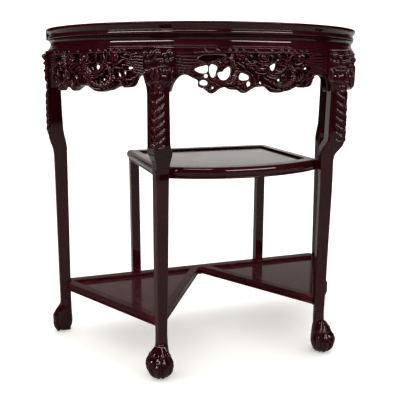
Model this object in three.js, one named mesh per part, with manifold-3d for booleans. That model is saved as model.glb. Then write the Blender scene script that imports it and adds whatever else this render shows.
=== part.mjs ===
// Half-moon side table of dark lacquered hardwood with an inset marble slab:
// four carved legs, a waisted top, pierced aprons, a bow-fronted middle shelf
// and a bow-tie shaped lower shelf. Millimetres, +Z up, the straight back is
// at +Y and the round front faces -Y. The origin is under the middle of the
// bounding box, on the floor.
import * as THREE from 'three';
import { mergeVertices } from 'three/addons/utils/BufferGeometryUtils.js';
import Module from 'manifold-3d';

const wasm = await Module();
wasm.setup();

// ---------------------------------------------------------------- dimensions
const HEIGHT = 800; // floor to top of the frame
const R_RIM = 406; // radius of the top frame
const BACK = 20; // back plane, measured from the centre of the rim circle
const CENTRE_Y = 196; // moves the rim centre so that the box is centred
const GAP = 0.3; // clearance in every joint

const FRAME_Z = 773; // underside of the top frame
const FRAME_IN = 346; // inner radius of the curved frame members
const FRAME_BACK_W = 60; // width of the straight back member
const SLAB_T = 17.6; // marble thickness
const SLAB_R = 356; // rebate radius for the slab
const SLAB_LEDGE = HEIGHT - 18; // height of the rebate ledge

const WAIST_Z = 747.3; // underside of the waist strips
const WAIST_IN = 372;

const APRON_TOP = 747;
const APRON_IN = 386;
const APRON_OUT = 408;
const APRON_MAX = 412; // crest of the carving
const BACK_APRON_Z = 722; // underside of the plain back apron
const TONGUE = [392, 402]; // radii of the apron's end tongues

const LEG_R = 389; // radius of the front leg axes at the floor
const LEG_A = 58; // angle of the front legs from the back line
const LEG_SIDE = 388; // back leg axes
const LEG_TOP = 746.7;
const TENON_Z = 790; // top of the leg tenons, inside the frame's mortises

const SHELF_Z = 489.3; // top of the middle shelf frame
const SHELF_T = 26.3;
const SHELF_X = 207.5;
const SHELF_R = 364;
const SHELF_RAIL = 26.5; // width of the side rails
const SHELF_DEEP = 34; // width of the front and back rails
const SHELF_RECESS = 5;

const LOW_Z = 139; // top of the lower shelf rails
const LOW_T = 22;
const LOW_RECESS = 9;
const LOW_HUB_Y = 9; // where the two diagonal rails meet

const POST_X = 188.4;
const POST_Y = 7.8;
const POST_W = 23.8;

const rad = (d) => (d * Math.PI) / 180;
const polar = (r, deg) => [r * Math.cos(rad(deg)), r * Math.sin(rad(deg))];

// ------------------------------------------------------------------- helpers
function solid(geometry) {
  const g = geometry.clone();
  g.deleteAttribute('normal');
  g.deleteAttribute('uv');
  const m = mergeVertices(g, 1e-3);
  const tri = new Uint32Array(m.index.array);
  const pos = new Float32Array(m.attributes.position.array);
  let man = new wasm.Manifold(new wasm.Mesh({ numProp: 3, vertProperties: pos, triVerts: tri }));
  if (man.volume() < 0) {
    for (let i = 0; i < tri.length; i += 3) {
      const t = tri[i];
      tri[i] = tri[i + 1];
      tri[i + 1] = t;
    }
    man = new wasm.Manifold(new wasm.Mesh({ numProp: 3, vertProperties: pos, triVerts: tri }));
  }
  return man;
}

function prism(points, z0, z1) {
  const shape = new THREE.Shape(points.map((p) => new THREE.Vector2(p[0], p[1])));
  const g = new THREE.ExtrudeGeometry(shape, { depth: z1 - z0, bevelEnabled: false });
  g.translate(0, 0, z0);
  return solid(g);
}

function arc(r, a0, a1, n) {
  const out = [];
  for (let i = 0; i <= n; i++) out.push(polar(r, a0 + ((a1 - a0) * i) / n));
  return out;
}

// moulding profile [radius, height] swept round the rim circle
function ring(profile, n = 96) {
  const pts = profile.map((p) => new THREE.Vector2(p[0], p[1]));
  pts.push(pts[0].clone());
  const g = new THREE.LatheGeometry(pts, n);
  g.rotateX(Math.PI / 2);
  return solid(g);
}

// sector of the plan between two angles, optionally stopped at the back plane
function sector(a0, a1, z0, z1, r = 600) {
  return prism([[0, 0], ...arc(r, a0, a1, 12)], z0, z1);
}

// straight rail from p to q in plan, with offsets to its left and right
function beam(p, q, left, right, z0, z1, grow = 0, extend = 0) {
  const d = [q[0] - p[0], q[1] - p[1]];
  const l = Math.hypot(d[0], d[1]);
  const u = [d[0] / l, d[1] / l];
  const n = [-u[1], u[0]];
  const e = extend + grow;
  const at = (o, s, t) => [o[0] + n[0] * s + u[0] * t, o[1] + n[1] * s + u[1] * t];
  return prism(
    [at(p, -right - grow, -e), at(q, -right - grow, e), at(q, left + grow, e), at(p, left + grow, -e)],
    z0 - grow,
    z1 + grow,
  );
}

// box between two corners
function block(x0, x1, y0, y1, z0, z1, grow = 0) {
  return prism(
    [
      [x0 - grow, y0 - grow],
      [x1 + grow, y0 - grow],
      [x1 + grow, y1 + grow],
      [x0 - grow, y1 + grow],
    ],
    z0 - grow,
    z1 + grow,
  );
}

// round pin standing or lying between two points
function pin(a, b, r, n = 12) {
  const va = new THREE.Vector3(...a);
  const vb = new THREE.Vector3(...b);
  const d = vb.clone().sub(va);
  const g = new THREE.CylinderGeometry(r, r, d.length(), n);
  g.applyQuaternion(new THREE.Quaternion().setFromUnitVectors(new THREE.Vector3(0, 1, 0), d.clone().normalize()));
  g.translate(...va.add(vb).multiplyScalar(0.5).toArray());
  return solid(g);
}

// loft of rounded sections. Each level is [z, outward shift, half outward,
// half across, turn of the section in degrees, squareness, shift across]
function loft(levels, axis, outward, grow = 0, sides = 16) {
  const rows = levels.length;
  const g = new THREE.CylinderGeometry(1, 1, 1, sides, rows - 1, false);
  const p = g.attributes.position;
  const e = [Math.cos(rad(outward)), Math.sin(rad(outward))];
  const t = [-e[1], e[0]];
  for (let i = 0; i < p.count; i++) {
    const x = p.getX(i);
    const y = p.getY(i);
    const z = p.getZ(i);
    const row = Math.round((0.5 - y) * (rows - 1));
    const [h, s, a, b, turn, n, side = 0] = levels[row];
    let u = s;
    let v = side;
    if (Math.hypot(x, z) > 0.5) {
      const f = Math.atan2(z, x);
      const k = f - rad(turn);
      const rho = Math.pow(
        Math.pow(Math.abs(Math.cos(k)) / (a + grow), n) + Math.pow(Math.abs(Math.sin(k)) / (b + grow), n),
        -1 / n,
      );
      u += rho * Math.cos(f);
      v += rho * Math.sin(f);
    }
    const top = row === 0 ? grow : row === rows - 1 ? -grow : 0;
    p.setXYZ(i, axis[0] + e[0] * u + t[0] * v, axis[1] + e[1] * u + t[1] * v, h + top);
  }
  return solid(g);
}

const group = new THREE.Group();
group.position.set(0, CENTRE_Y, 0);

const WOOD = { color: 0x3a1218, roughness: 0.28, metalness: 0 };
const WOOD_DARK = { color: 0x2c0e12, roughness: 0.4, metalness: 0 };
const WOOD_PLAIN = { color: 0x5a2a22, roughness: 0.6, metalness: 0 };
const PANEL = { color: 0x6a3a33, roughness: 0.18, metalness: 0 };
const MARBLE = { color: 0xd8d2c8, roughness: 0.15, metalness: 0 };

function add(name, man, look) {
  const me = man.getMesh();
  const g = new THREE.BufferGeometry();
  g.setAttribute('position', new THREE.BufferAttribute(new Float32Array(me.vertProperties), 3));
  g.setIndex(new THREE.BufferAttribute(new Uint32Array(me.triVerts), 1));
  g.computeVertexNormals();
  const mesh = new THREE.Mesh(g, new THREE.MeshStandardMaterial(look));
  mesh.name = name;
  group.add(mesh);
}

const cut = (man, ...tools) => tools.reduce((m, t) => m.subtract(t), man);
const join = (man, ...more) => more.reduce((m, t) => m.add(t), man);
// the main body that is left when trimming cuts off slivers
const largest = (man) => man.decompose().sort((a, b) => b.volume() - a.volume())[0];

// ---------------------------------------------------------------- the legs
// front legs: a block behind the beast mask, a thicker upper shaft set corner
// outward, a knee stepping in, a slim lower shaft and a claw foot
// a square section from its extents along the two faces of the block: q towards
// the front apron, p towards the side apron
const section = (z, p0, p1, q0, q1, n) => {
  const pc = (p0 + p1) / 2;
  const qc = (q0 + q1) / 2;
  return [z, (pc + qc) * Math.SQRT1_2, (q1 - q0) / 2, (p1 - p0) / 2, 45, n, (qc - pc) * Math.SQRT1_2];
};
const FRONT_LEVELS = [
  section(LEG_TOP, -17.5, 31.9, -15, 42.5, 9),
  section(686, -17.5, 31.9, -13.5, 42.2, 9),
  section(676, -14.4, 31.7, -7.2, 40.9, 8),
  section(664, -8.1, 31.6, -0.9, 39.4, 8),
  section(652, -5.8, 31.6, 1.5, 38.9, 8),
  section(548, -7.2, 32.2, 0.8, 38.9, 8),
  section(538, -9.5, 32, -0.5, 38.4, 8),
  section(526, -15.8, 29.2, -4.5, 32.5, 8),
  section(514, -18.1, 22.3, -7.2, 24, 8),
  section(500, -17.6, 16.6, -9, 17.8, 8),
  section(SHELF_Z + GAP, -16.8, 15.6, -9.5, 16.8, 8),
  section(SHELF_Z - SHELF_T - GAP, -15.2, 15.6, -9.2, 17.2, 8),
  section(140, -12, 13.5, -11.1, 10.6, 8),
  section(90, -11, 13, -10.5, 10, 8),
  [70, 2.5, 14, 15.5, 0, 4, -0.5],
  [52, 8, 21.5, 24.5, 0, 3.4, 0],
  [34, 14.5, 29.5, 31.5, 0, 3.2, 0],
  [16, 14.5, 29.5, 32, 0, 3.2, 0],
  [0, 12, 24, 27, 0, 3.2, 0],
];
// back legs: square to the back plane
const BACK_LEVELS = [
  [LEG_TOP, 6.4, 16.9, 12.5, 0, 9, 5.5],
  [600, 6.7, 17.2, 12.5, 0, 9, 5.5],
  [545, 5.9, 19.2, 12.5, 0, 9, 5.5],
  [530, 3.5, 19.8, 12.5, 0, 9, 5.5],
  [508, -2, 17.5, 12.5, 0, 9, 5.5],
  [487, -2.8, 16.4, 12.5, 0, 9, 5.5],
  [140, 0.8, 14.4, 12.5, 0, 9, 5.5],
  [90, 0.9, 14.1, 12.5, 0, 9, 5.5],
  [68, 3, 17.5, 14, 0, 4, 5.5],
  [52, 10, 25, 16, 0, 3.4, 6],
  [33, 11.5, 26.5, 17.5, 0, 3.4, 7],
  [14, 11, 26, 17.5, 0, 3.4, 7],
  [0, 7, 18, 12, 0, 3.4, 7],
];
const LEGS = {
  leg_back_left: { axis: [-LEG_SIDE, BACK - 18], out: 180, side: 1, levels: BACK_LEVELS, tenon: [-388, 0] },
  leg_front_left: { axis: polar(LEG_R, 180 + LEG_A), out: 180 + LEG_A, side: 1, levels: FRONT_LEVELS, tenon: polar(383, 180 + LEG_A) },
  leg_front_right: { axis: polar(LEG_R, 360 - LEG_A), out: 360 - LEG_A, side: 1, levels: FRONT_LEVELS, tenon: polar(383, 360 - LEG_A) },
  leg_back_right: { axis: [LEG_SIDE, BACK - 18], out: 0, side: -1, levels: BACK_LEVELS, tenon: [388, 0] },
};
// the right-hand legs mirror the left-hand ones
for (const [name, leg] of Object.entries(LEGS)) {
  const back = name.includes('back');
  const place = ([z, s, a, b, turn, n, v]) => {
    if (back) return [z, s, a, b, turn, n, leg.side * v];
    if (name.endsWith('left')) return [z, s, a, b, turn, n, v];
    return turn ? [z, s, b, a, turn, n, -v] : [z, s, a, b, turn, n, -v];
  };
  leg.shape = (grow) => loft(leg.levels.map(place), leg.axis, leg.out, grow);
  const [tx, ty] = leg.tenon;
  const d = back ? [8, 8] : [7, 7];
  leg.pegs = (grow) => block(tx - d[0], tx + d[0], ty - d[1], ty + d[1], LEG_TOP - 20, TENON_Z - 4, grow);
}

// ---------------------------------------------------------------- top frame
const frameProfile = [
  [FRAME_IN, FRAME_Z],
  [399.5, FRAME_Z],
  [402, 775.6],
  [402, 778.4],
  [400.5, 781],
  [402.3, 786],
  [406, 794],
  [405.6, 798],
  [403.6, HEIGHT],
  [SLAB_R, HEIGHT],
  [SLAB_R, SLAB_LEDGE],
  [FRAME_IN, SLAB_LEDGE],
];
const frameRing = ring(frameProfile, 120);
// the curved and the straight members meet on mitre lines at the back corners
const g2 = GAP / 2;
const mitreLine = (x) => -40 + ((Math.abs(x) - 343.7) * 60) / 61.8;
const frontSide = prism(
  [
    [-460, mitreLine(460) - g2 * 1.4],
    [-343.7, -40 - g2 * 1.4],
    [343.7, -40 - g2 * 1.4],
    [460, mitreLine(460) - g2 * 1.4],
    [460, -460],
    [-460, -460],
  ],
  700,
  820,
);
const behindBack = block(-500, 500, BACK, 500, 700, 820);
const arcFrame = cut(frameRing.intersect(frontSide), behindBack);
const seamL = 180 + LEG_A - 7;
const seamR = 360 - LEG_A + 7;
const tongueRing = ring(
  [
    [368, 779],
    [392, 779],
    [392, 789],
    [368, 789],
  ],
  120,
);
const tongueSlot = ring(
  [
    [368 - GAP, 779 - GAP],
    [392 + GAP, 779 - GAP],
    [392 + GAP, 789 + GAP],
    [368 - GAP, 789 + GAP],
  ],
  120,
);
const seamGap = 0.045; // degrees, about 0.3 mm at the rim
let frameFront = arcFrame.intersect(sector(seamL + seamGap / 2, seamR - seamGap / 2, 700, 820));
let frameLeft = arcFrame.intersect(sector(165, seamL - seamGap / 2, 700, 820));
let frameRight = arcFrame.intersect(sector(seamR + seamGap / 2, 375, 700, 820));
frameFront = join(
  frameFront,
  tongueRing.intersect(sector(seamL - 3, seamL + 1, 700, 820)),
  tongueRing.intersect(sector(seamR - 1, seamR + 3, 700, 820)),
);
frameLeft = cut(frameLeft, tongueSlot.intersect(sector(seamL - 3.1, seamL + 1, 700, 820)));
frameRight = cut(frameRight, tongueSlot.intersect(sector(seamR - 1, seamR + 3.1, 700, 820)));

// back member with its own rebate
const backRegion = prism(
  [
    [-460, mitreLine(460) + g2 * 1.4],
    [-343.7, -40 + g2 * 1.4],
    [343.7, -40 + g2 * 1.4],
    [460, mitreLine(460) + g2 * 1.4],
    [460, 120],
    [-460, 120],
  ],
  700,
  820,
);
let frameBack = cut(
  block(-403.4, 403.4, -40, BACK, FRAME_Z, HEIGHT).intersect(backRegion),
  block(-SLAB_R * 0.996, SLAB_R * 0.996, -41, -30, SLAB_LEDGE, 820),
);
// tenons of the back member in the ends of the curved members
const tenonStock = (g) => [
  prism([[-384 - g, -34 - g], [-370 + g, -34 - g], [-370 + g, 2], [-384 - g, 2]], 778 - g, 788 + g),
  prism([[370 - g, -34 - g], [384 + g, -34 - g], [384 + g, 2], [370 - g, 2]], 778 - g, 788 + g),
];
const [btl, btr] = tenonStock(0);
frameBack = join(frameBack, btl, btr);
const [bml, bmr] = tenonStock(GAP);
frameLeft = cut(frameLeft, bml);
frameRight = cut(frameRight, bmr);

// battens under the slab
const battenX = [-120, 120];
// a batten is a bar between the frame members with a thin tenon at each end
const battenSolid = (x, g) => {
  const yFront = -Math.sqrt(FRAME_IN ** 2 - (Math.abs(x) + 20) ** 2) + 1.2;
  const bar = block(x - 20, x + 20, yFront, -40.4, 764, SLAB_LEDGE - GAP, g);
  const ten = block(x - 14, x + 14, yFront - 22, -28, 774.5, 779.5, g);
  return [bar, ten];
};
const battenNodes = battenX.map((x) => {
  const [bar, ten] = battenSolid(x, 0);
  return join(bar, ten);
});
for (const x of battenX) {
  const [, ten] = battenSolid(x, GAP);
  frameFront = cut(frameFront, ten);
  frameBack = cut(frameBack, ten);
}

// mortises for the leg tenons
for (const leg of Object.values(LEGS)) {
  const hole = leg.pegs(GAP);
  frameFront = cut(frameFront, hole);
  frameLeft = cut(frameLeft, hole);
  frameRight = cut(frameRight, hole);
  frameBack = cut(frameBack, hole);
}
add('top_frame_front', largest(frameFront), WOOD);
add('top_frame_left', largest(frameLeft), WOOD);
add('top_frame_right', largest(frameRight), WOOD);
add('top_frame_back', largest(frameBack), WOOD);

// marble slab on the rebate ledge
const slabPlan = () => {
  const r = SLAB_R - 0.5;
  const a = (Math.asin(30.4 / r) * 180) / Math.PI;
  return arc(r, 180 + a, 360 - a, 60);
};
add('marble_slab', prism(slabPlan(), SLAB_LEDGE + GAP, SLAB_LEDGE + GAP + SLAB_T - 0.2), MARBLE);
add('top_batten_left', battenNodes[0], WOOD_PLAIN);
add('top_batten_right', battenNodes[1], WOOD_PLAIN);

// ---------------------------------------------------------------- the waist
const waistRing = ring(
  [
    [WAIST_IN, WAIST_Z],
    [396, WAIST_Z],
    [396.4, 749.4],
    [394.2, 752],
    [391.6, 756],
    [390.8, 761],
    [392.4, 766.5],
    [396, 770.5],
    [398.6, 771.6],
    [398.6, FRAME_Z - GAP],
    [WAIST_IN, FRAME_Z - GAP],
  ],
  120,
);
const notBack = cut(block(-500, 500, -500, BACK - 22 - GAP, 700, 820));
const waistArc = waistRing.intersect(notBack);
const wg = 0.045;
let waistFront = waistArc.intersect(sector(180 + LEG_A + wg / 2, 360 - LEG_A - wg / 2, 700, 820));
let waistLeft = waistArc.intersect(sector(165, 180 + LEG_A - wg / 2, 700, 820));
let waistRight = waistArc.intersect(sector(360 - LEG_A + wg / 2, 375, 700, 820));
let waistBack = block(-395, 395, BACK - 22, BACK - 2, WAIST_Z, FRAME_Z - GAP);
for (const leg of Object.values(LEGS)) {
  const hole = leg.pegs(GAP);
  waistFront = cut(waistFront, hole);
  waistLeft = cut(waistLeft, hole);
  waistRight = cut(waistRight, hole);
  waistBack = cut(waistBack, hole);
}
add('waist_front', largest(waistFront), WOOD);
add('waist_left', largest(waistLeft), WOOD);
add('waist_right', largest(waistRight), WOOD);
add('waist_back', largest(waistBack), WOOD);

// ---------------------------------------------------------------- the aprons
// outlines are given as [arc length from the middle of the front apron, height]
function radialCutter(mid, outline) {
  const R = APRON_OUT;
  const shape = new THREE.Shape(outline.map(([u, z]) => new THREE.Vector2(R * Math.sin(u / R), z)));
  const g = new THREE.ExtrudeGeometry(shape, { depth: 190, bevelEnabled: false });
  // drawing plane X,Y -> across, height; depth -> outward
  const m = new THREE.Matrix4();
  const e = [Math.cos(rad(mid)), Math.sin(rad(mid))];
  const t = [-e[1], e[0]];
  m.makeBasis(
    new THREE.Vector3(t[0], t[1], 0),
    new THREE.Vector3(0, 0, 1),
    new THREE.Vector3(e[0], e[1], 0),
  );
  g.applyMatrix4(m);
  g.translate(e[0] * 280, e[1] * 280, 0);
  return solid(g);
}
const FRONT_EDGE = [
  [-285, 600], [-285, 652], [-200, 652], [-196, 666], [-192, 675], [-184, 685], [-175, 691], [-165, 692],
  [-157, 688], [-149, 684], [-141, 681], [-139, 676], [-141, 671], [-137, 665], [-128, 663], [-121, 657],
  [-114, 652], [-107, 652], [-101, 657], [-93, 663], [-84, 666], [-78, 665], [-71, 660], [-53, 660],
  [-48, 656], [-42, 653], [-35, 653], [-28, 658], [-20, 663], [-12, 666], [9, 667.5], [16, 664], [24, 657],
  [32, 653], [50, 653], [58, 656], [72, 657.5], [82, 662], [92, 665.5], [100, 667.5], [103, 666], [105, 663],
  [122, 664], [131, 666], [137, 672], [141, 680], [145, 687], [153, 690.5], [165, 692], [178, 690],
  [188, 683], [194, 674], [198, 664], [200, 652], [285, 652], [285, 600],
];
const FRONT_HOLES = [
  [[-149, 702.5], [-138, 707], [-124, 710], [-119, 711], [-119, 701], [-121, 696.5], [-130, 694.8], [-140, 697.5]],
  [[-143, 724.5], [-134, 729], [-127, 732], [-76, 732], [-84, 727], [-97, 724.5], [-105, 721], [-114, 719],
    [-126, 719.5], [-135, 722]],
  [[-137, 675], [-133, 680], [-124, 680], [-119, 675], [-121, 670.5], [-132, 670]],
  [[-115, 709], [-110, 714], [-97, 708], [-100, 700.5], [-102, 694], [-104, 688.5], [-107.5, 685.5], [-112, 689],
    [-115, 697]],
  [[-98, 694], [-94, 697], [-86, 697], [-83.5, 702], [-78, 705.5], [-72, 709], [-69, 703], [-69, 694],
    [-73, 686], [-79, 681.5], [-86, 681], [-93, 684]],
  [[-52, 687], [-46, 696], [-39, 694], [-27, 690], [-25, 684], [-29, 681], [-47, 680.5]],
  [[-34, 671], [-31, 677], [-27, 678], [-22, 675], [-22, 669], [-30, 667]],
  [[-30, 722], [-29, 732], [-20, 732], [-20, 722], [-24, 718]],
  [[16, 722], [17, 731], [27, 733], [32, 729], [32, 722], [24, 719]],
  [[19.5, 709], [30, 713.5], [35, 716], [40, 715], [38.5, 708], [35.5, 702], [29, 699], [25, 701.5]],
  [[41, 680.5], [44, 684], [50, 684], [53, 680], [49, 676.5], [43, 677]],
  [[44, 715], [46, 723], [46, 732], [55, 732], [53, 724], [49, 716]],
  [[87, 687], [87, 697], [90, 700], [96, 693], [98, 687.5]],
  [[100.5, 692], [99.5, 699], [104, 701], [110, 696], [111, 690], [105, 689]],
  [[112, 705], [117, 707.5], [135, 706], [128, 703.5], [116, 703]],
  [[98, 731], [103, 733.5], [115, 733], [129, 729.8], [122, 727.5], [106, 726.5]],
];
// the side aprons carry the same design on a shorter arc: [front arc length, side arc length]
const SIDE_WARP = [
  [-285, -268], [-212, -195], [-149, -134], [-117, -108], [-100, -91], [-70, -60], [-38, -33], [-10, 6], [2, 20],
  [20, 39], [53, 74], [87, 107], [103, 126], [120, 138], [141, 158], [153, 170], [212, 212], [285, 285],
];
function toSide(u) {
  for (let i = 1; i < SIDE_WARP.length; i++) {
    const [a, b] = SIDE_WARP[i - 1];
    const [c, d] = SIDE_WARP[i];
    if (u <= c) return b + ((u - a) / (c - a)) * (d - b);
  }
  return u;
}
const SIDE_EDGE = FRONT_EDGE.map(([u, z]) => [toSide(u), z]);
const SIDE_HOLES = FRONT_HOLES.map((h) => h.map(([u, z]) => [toSide(u), z]));
const mirrored = (o) => o.map(([a, z]) => [-a, z]).reverse();
const apronProfile = [
  [APRON_IN, 640],
  [APRON_OUT, 640],
  [APRON_MAX, 655],
  [APRON_MAX, 738],
  [APRON_OUT, APRON_TOP],
  [APRON_IN, APRON_TOP],
];
const apronRing = ring(apronProfile, 120);
const tongue = ring(
  [
    [TONGUE[0], 690],
    [TONGUE[1], 690],
    [TONGUE[1], 735],
    [TONGUE[0], 735],
  ],
  120,
);
const tongueCut = ring(
  [
    [TONGUE[0] - GAP, 690 - GAP],
    [TONGUE[1] + GAP, 690 - GAP],
    [TONGUE[1] + GAP, 735 + GAP],
    [TONGUE[0] - GAP, 735 + GAP],
  ],
  120,
);
const notBehind = block(-500, 500, -500, BACK - 36 - GAP, 600, 800);
const grownLegs = Object.values(LEGS).map((l) => l.shape(GAP));
let apronFront = cut(apronRing.intersect(sector(180 + LEG_A, 360 - LEG_A, 600, 800)), ...grownLegs);
apronFront = cut(apronFront, radialCutter(270, FRONT_EDGE), ...FRONT_HOLES.map((h) => radialCutter(270, h)));
apronFront = largest(apronFront);
apronFront = join(
  apronFront,
  tongue.intersect(sector(180 + LEG_A + 1.3, 180 + LEG_A + 7, 600, 800)),
  tongue.intersect(sector(360 - LEG_A - 7, 360 - LEG_A - 1.3, 600, 800)),
);
function sideApron(mid, flip) {
  const edge = flip ? mirrored(SIDE_EDGE) : SIDE_EDGE;
  const holes = SIDE_HOLES.map((h) => (flip ? mirrored(h) : h));
  const legAngle = flip ? 360 - LEG_A : 180 + LEG_A;
  const sec = flip ? sector(legAngle, 375, 600, 800) : sector(165, legAngle, 600, 800);
  let m = cut(apronRing.intersect(sec).intersect(notBehind), ...grownLegs);
  m = cut(m, radialCutter(mid, edge), ...holes.map((h) => radialCutter(mid, h)));
  m = largest(m);
  const t = flip ? sector(legAngle + 1.3, legAngle + 7, 600, 800) : sector(legAngle - 7, legAngle - 1.3, 600, 800);
  return join(m, tongue.intersect(t));
}
let apronLeft = sideApron(209, false);
let apronRight = sideApron(331, true);
// tenons of the side aprons in the back legs
const sideTenon = (s, g) => block(Math.min(s * 394, s * 402), Math.max(s * 394, s * 402), -24, -8, 690, 735, g);
apronLeft = join(apronLeft, sideTenon(-1, 0));
apronRight = join(apronRight, sideTenon(1, 0));
// plain back apron
const backApron = (g) => block(-377, 377, BACK - 20, BACK - 2, BACK_APRON_Z, WAIST_Z - GAP, g);
let apronBack = cut(backApron(0), LEGS.leg_back_left.shape(GAP), LEGS.leg_back_right.shape(GAP));
const backApronTenon = (g) => block(-385, 385, BACK - 19, BACK - 13, 726, 743, g);
apronBack = join(apronBack, backApronTenon(0));

// wedge keys hang each apron from the waist
const keyAt = (r, a, g) => {
  const [x, y] = polar(r, a);
  return beam([x, y], polar(r + 6, a), 6, 6, 738, 758, g);
};
const KEYS = { apron_key_front_left: 257, apron_key_front_right: 283, apron_key_left: 208, apron_key_right: 332 };
for (const [name, a] of Object.entries(KEYS)) {
  const hole = keyAt(388, a, GAP);
  if (name.includes('front')) apronFront = cut(apronFront, hole);
  else if (name.includes('left')) apronLeft = cut(apronLeft, hole);
  else apronRight = cut(apronRight, hole);
}
add('apron_front', apronFront, WOOD);
add('apron_left', apronLeft, WOOD);
add('apron_right', apronRight, WOOD);
add('apron_back', apronBack, WOOD_DARK);

// -------------------------------------------------------------- middle shelf
function shelfPlan(grow = 0) {
  const x = SHELF_X + grow;
  const c = 9;
  const b = BACK + grow;
  const r = SHELF_R + grow;
  const pts = [];
  for (let i = 0; i <= 4; i++) {
    const f = (i * 90) / 4;
    pts.push([-x + c - c * Math.cos(rad(f)), b - c + c * Math.sin(rad(f))]);
  }
  for (let i = 0; i <= 4; i++) {
    const f = 90 - (i * 90) / 4;
    pts.push([x - c + c * Math.cos(rad(f)), b - c + c * Math.sin(rad(f))]);
  }
  // the corners run on into the front legs
  pts.push([x, -326]);
  pts.push([194.5, -326]);
  pts.push([191.8, -315.5]);
  const a0 = 301.4;
  pts.push(...arc(r, a0, 540 - a0, 36));
  pts.push([-191.8, -315.5]);
  pts.push([-194.5, -326]);
  pts.push([-x, -326]);
  return pts;
}
const shelfZ0 = SHELF_Z - SHELF_T;
const shelfAll = prism(shelfPlan(), shelfZ0, SHELF_Z);
const frontLegs = [LEGS.leg_front_left.shape(GAP), LEGS.leg_front_right.shape(GAP)];
const shelfRim = cut(shelfAll, ...frontLegs);
// opening of the frame: inner rectangle with a curved front
function shelfInner(grow) {
  const xi = SHELF_X - SHELF_RAIL + grow;
  const ri = SHELF_R - SHELF_DEEP + grow;
  const ymin = -Math.sqrt(ri * ri - xi * xi);
  const a = (Math.atan2(ymin, xi) * 180) / Math.PI + 360;
  return [[-xi, BACK - SHELF_DEEP + grow], ...arc(ri, 540 - a, a, 28), [xi, BACK - SHELF_DEEP + grow]];
}
const shelfOpening = prism(shelfInner(0), shelfZ0 - 5, SHELF_Z + 5);
const groove = prism(shelfInner(8 + GAP), SHELF_Z - SHELF_RECESS - 8 - GAP, SHELF_Z - SHELF_RECESS + GAP);
let shelfFrame = cut(shelfRim, shelfOpening, groove);
// mitre lines at the corners split the frame into four rails
const sideCore = (sgn, g) => {
  const xi = SHELF_X - SHELF_RAIL;
  const yb = BACK - SHELF_DEEP;
  const yf = -Math.sqrt((SHELF_R - SHELF_DEEP) ** 2 - xi * xi);
  // region of the side rail, bounded by the two mitre lines
  return prism(
    [
      [sgn * (xi - 10), yb - 12.8 + g * 1.6],
      [sgn * (xi + 60), yb + 77 + g * 1.6],
      [sgn * (xi + 80), yb + 77 + g * 1.6],
      [sgn * (xi + 80), yf - 96.7 - g * 4],
      [sgn * (xi + 25), yf - 96.7 - g * 4],
      [sgn * (xi - 10), yf + 38.7 - g * 4],
    ],
    shelfZ0 - 1,
    SHELF_Z + 1,
  );
};
const railLeft0 = shelfFrame.intersect(sideCore(-1, -g2));
const railRight0 = shelfFrame.intersect(sideCore(1, -g2));
const restFrame = cut(shelfFrame, sideCore(-1, g2), sideCore(1, g2));
const frontHalf = block(-300, 300, -500, -150, 400, 520);
const backHalf = block(-300, 300, -150, 100, 400, 520);
let shelfFront = largest(restFrame.intersect(frontHalf));
let shelfBack = largest(restFrame.intersect(backHalf));
let shelfLeft = largest(railLeft0);
let shelfRight = largest(railRight0);
// tenons of the front rail into the front legs
const legTenon = (sgn, g) => {
  const a = 270 + sgn * (90 - LEG_A);
  return beam(polar(346, a), polar(386, a), sgn > 0 ? -0.5 : 8, sgn > 0 ? 8 : -0.5, 469, 475, g);
};
shelfFront = join(shelfFront, legTenon(-1, 0), legTenon(1, 0));
shelfLeft = cut(shelfLeft, legTenon(-1, GAP));
shelfRight = cut(shelfRight, legTenon(1, GAP));
// posts and their tenons at both ends
const h = POST_W / 2;
const POSTS = { shelf_post_left: -POST_X, shelf_post_right: POST_X };
const postTenon = (x, g) => block(x - 5, x + 5, POST_Y - 4, POST_Y + 5, LOW_Z - 14, SHELF_Z - 12, g);
for (const x of Object.values(POSTS)) {
  const hole = postTenon(x, GAP);
  shelfLeft = cut(shelfLeft, hole);
  shelfRight = cut(shelfRight, hole);
  shelfBack = cut(shelfBack, hole);
}
const shelfPanel = prism(shelfInner(7.6), SHELF_Z - SHELF_RECESS - 8, SHELF_Z - SHELF_RECESS);
const shelfBattenTenon = (g) => block(-10, 10, -345, -4, shelfZ0 + 0.8, shelfZ0 + 4.2, g);
const shelfBattenBar = cut(
  block(-15, 15, -345, BACK - SHELF_DEEP - GAP, shelfZ0, SHELF_Z - SHELF_RECESS - 8 - GAP),
  cut(block(-60, 60, -400, -200, 400, 520), prism(shelfInner(-GAP), 400, 520)),
);
const shelfBatten = join(shelfBattenBar, shelfBattenTenon(0));
shelfFront = cut(shelfFront, shelfBattenTenon(GAP));
shelfBack = cut(shelfBack, shelfBattenTenon(GAP));
add('shelf_front_rail', shelfFront, WOOD);
add('shelf_rail_left', shelfLeft, WOOD);
add('shelf_rail_right', shelfRight, WOOD);
add('shelf_back_rail', shelfBack, WOOD);
add('shelf_panel', shelfPanel, PANEL);
add('shelf_batten', shelfBatten, WOOD_PLAIN);

// --------------------------------------------------------------- lower shelf
const lowZ0 = LOW_Z - LOW_T;
const A = LEGS.leg_back_left.axis;
const B = LEGS.leg_front_left.axis;
const C = LEGS.leg_front_right.axis;
const D = LEGS.leg_back_right.axis;
const HUB = [0, LOW_HUB_Y];
const legG = Object.values(LEGS).map((l) => l.shape(GAP));
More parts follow.
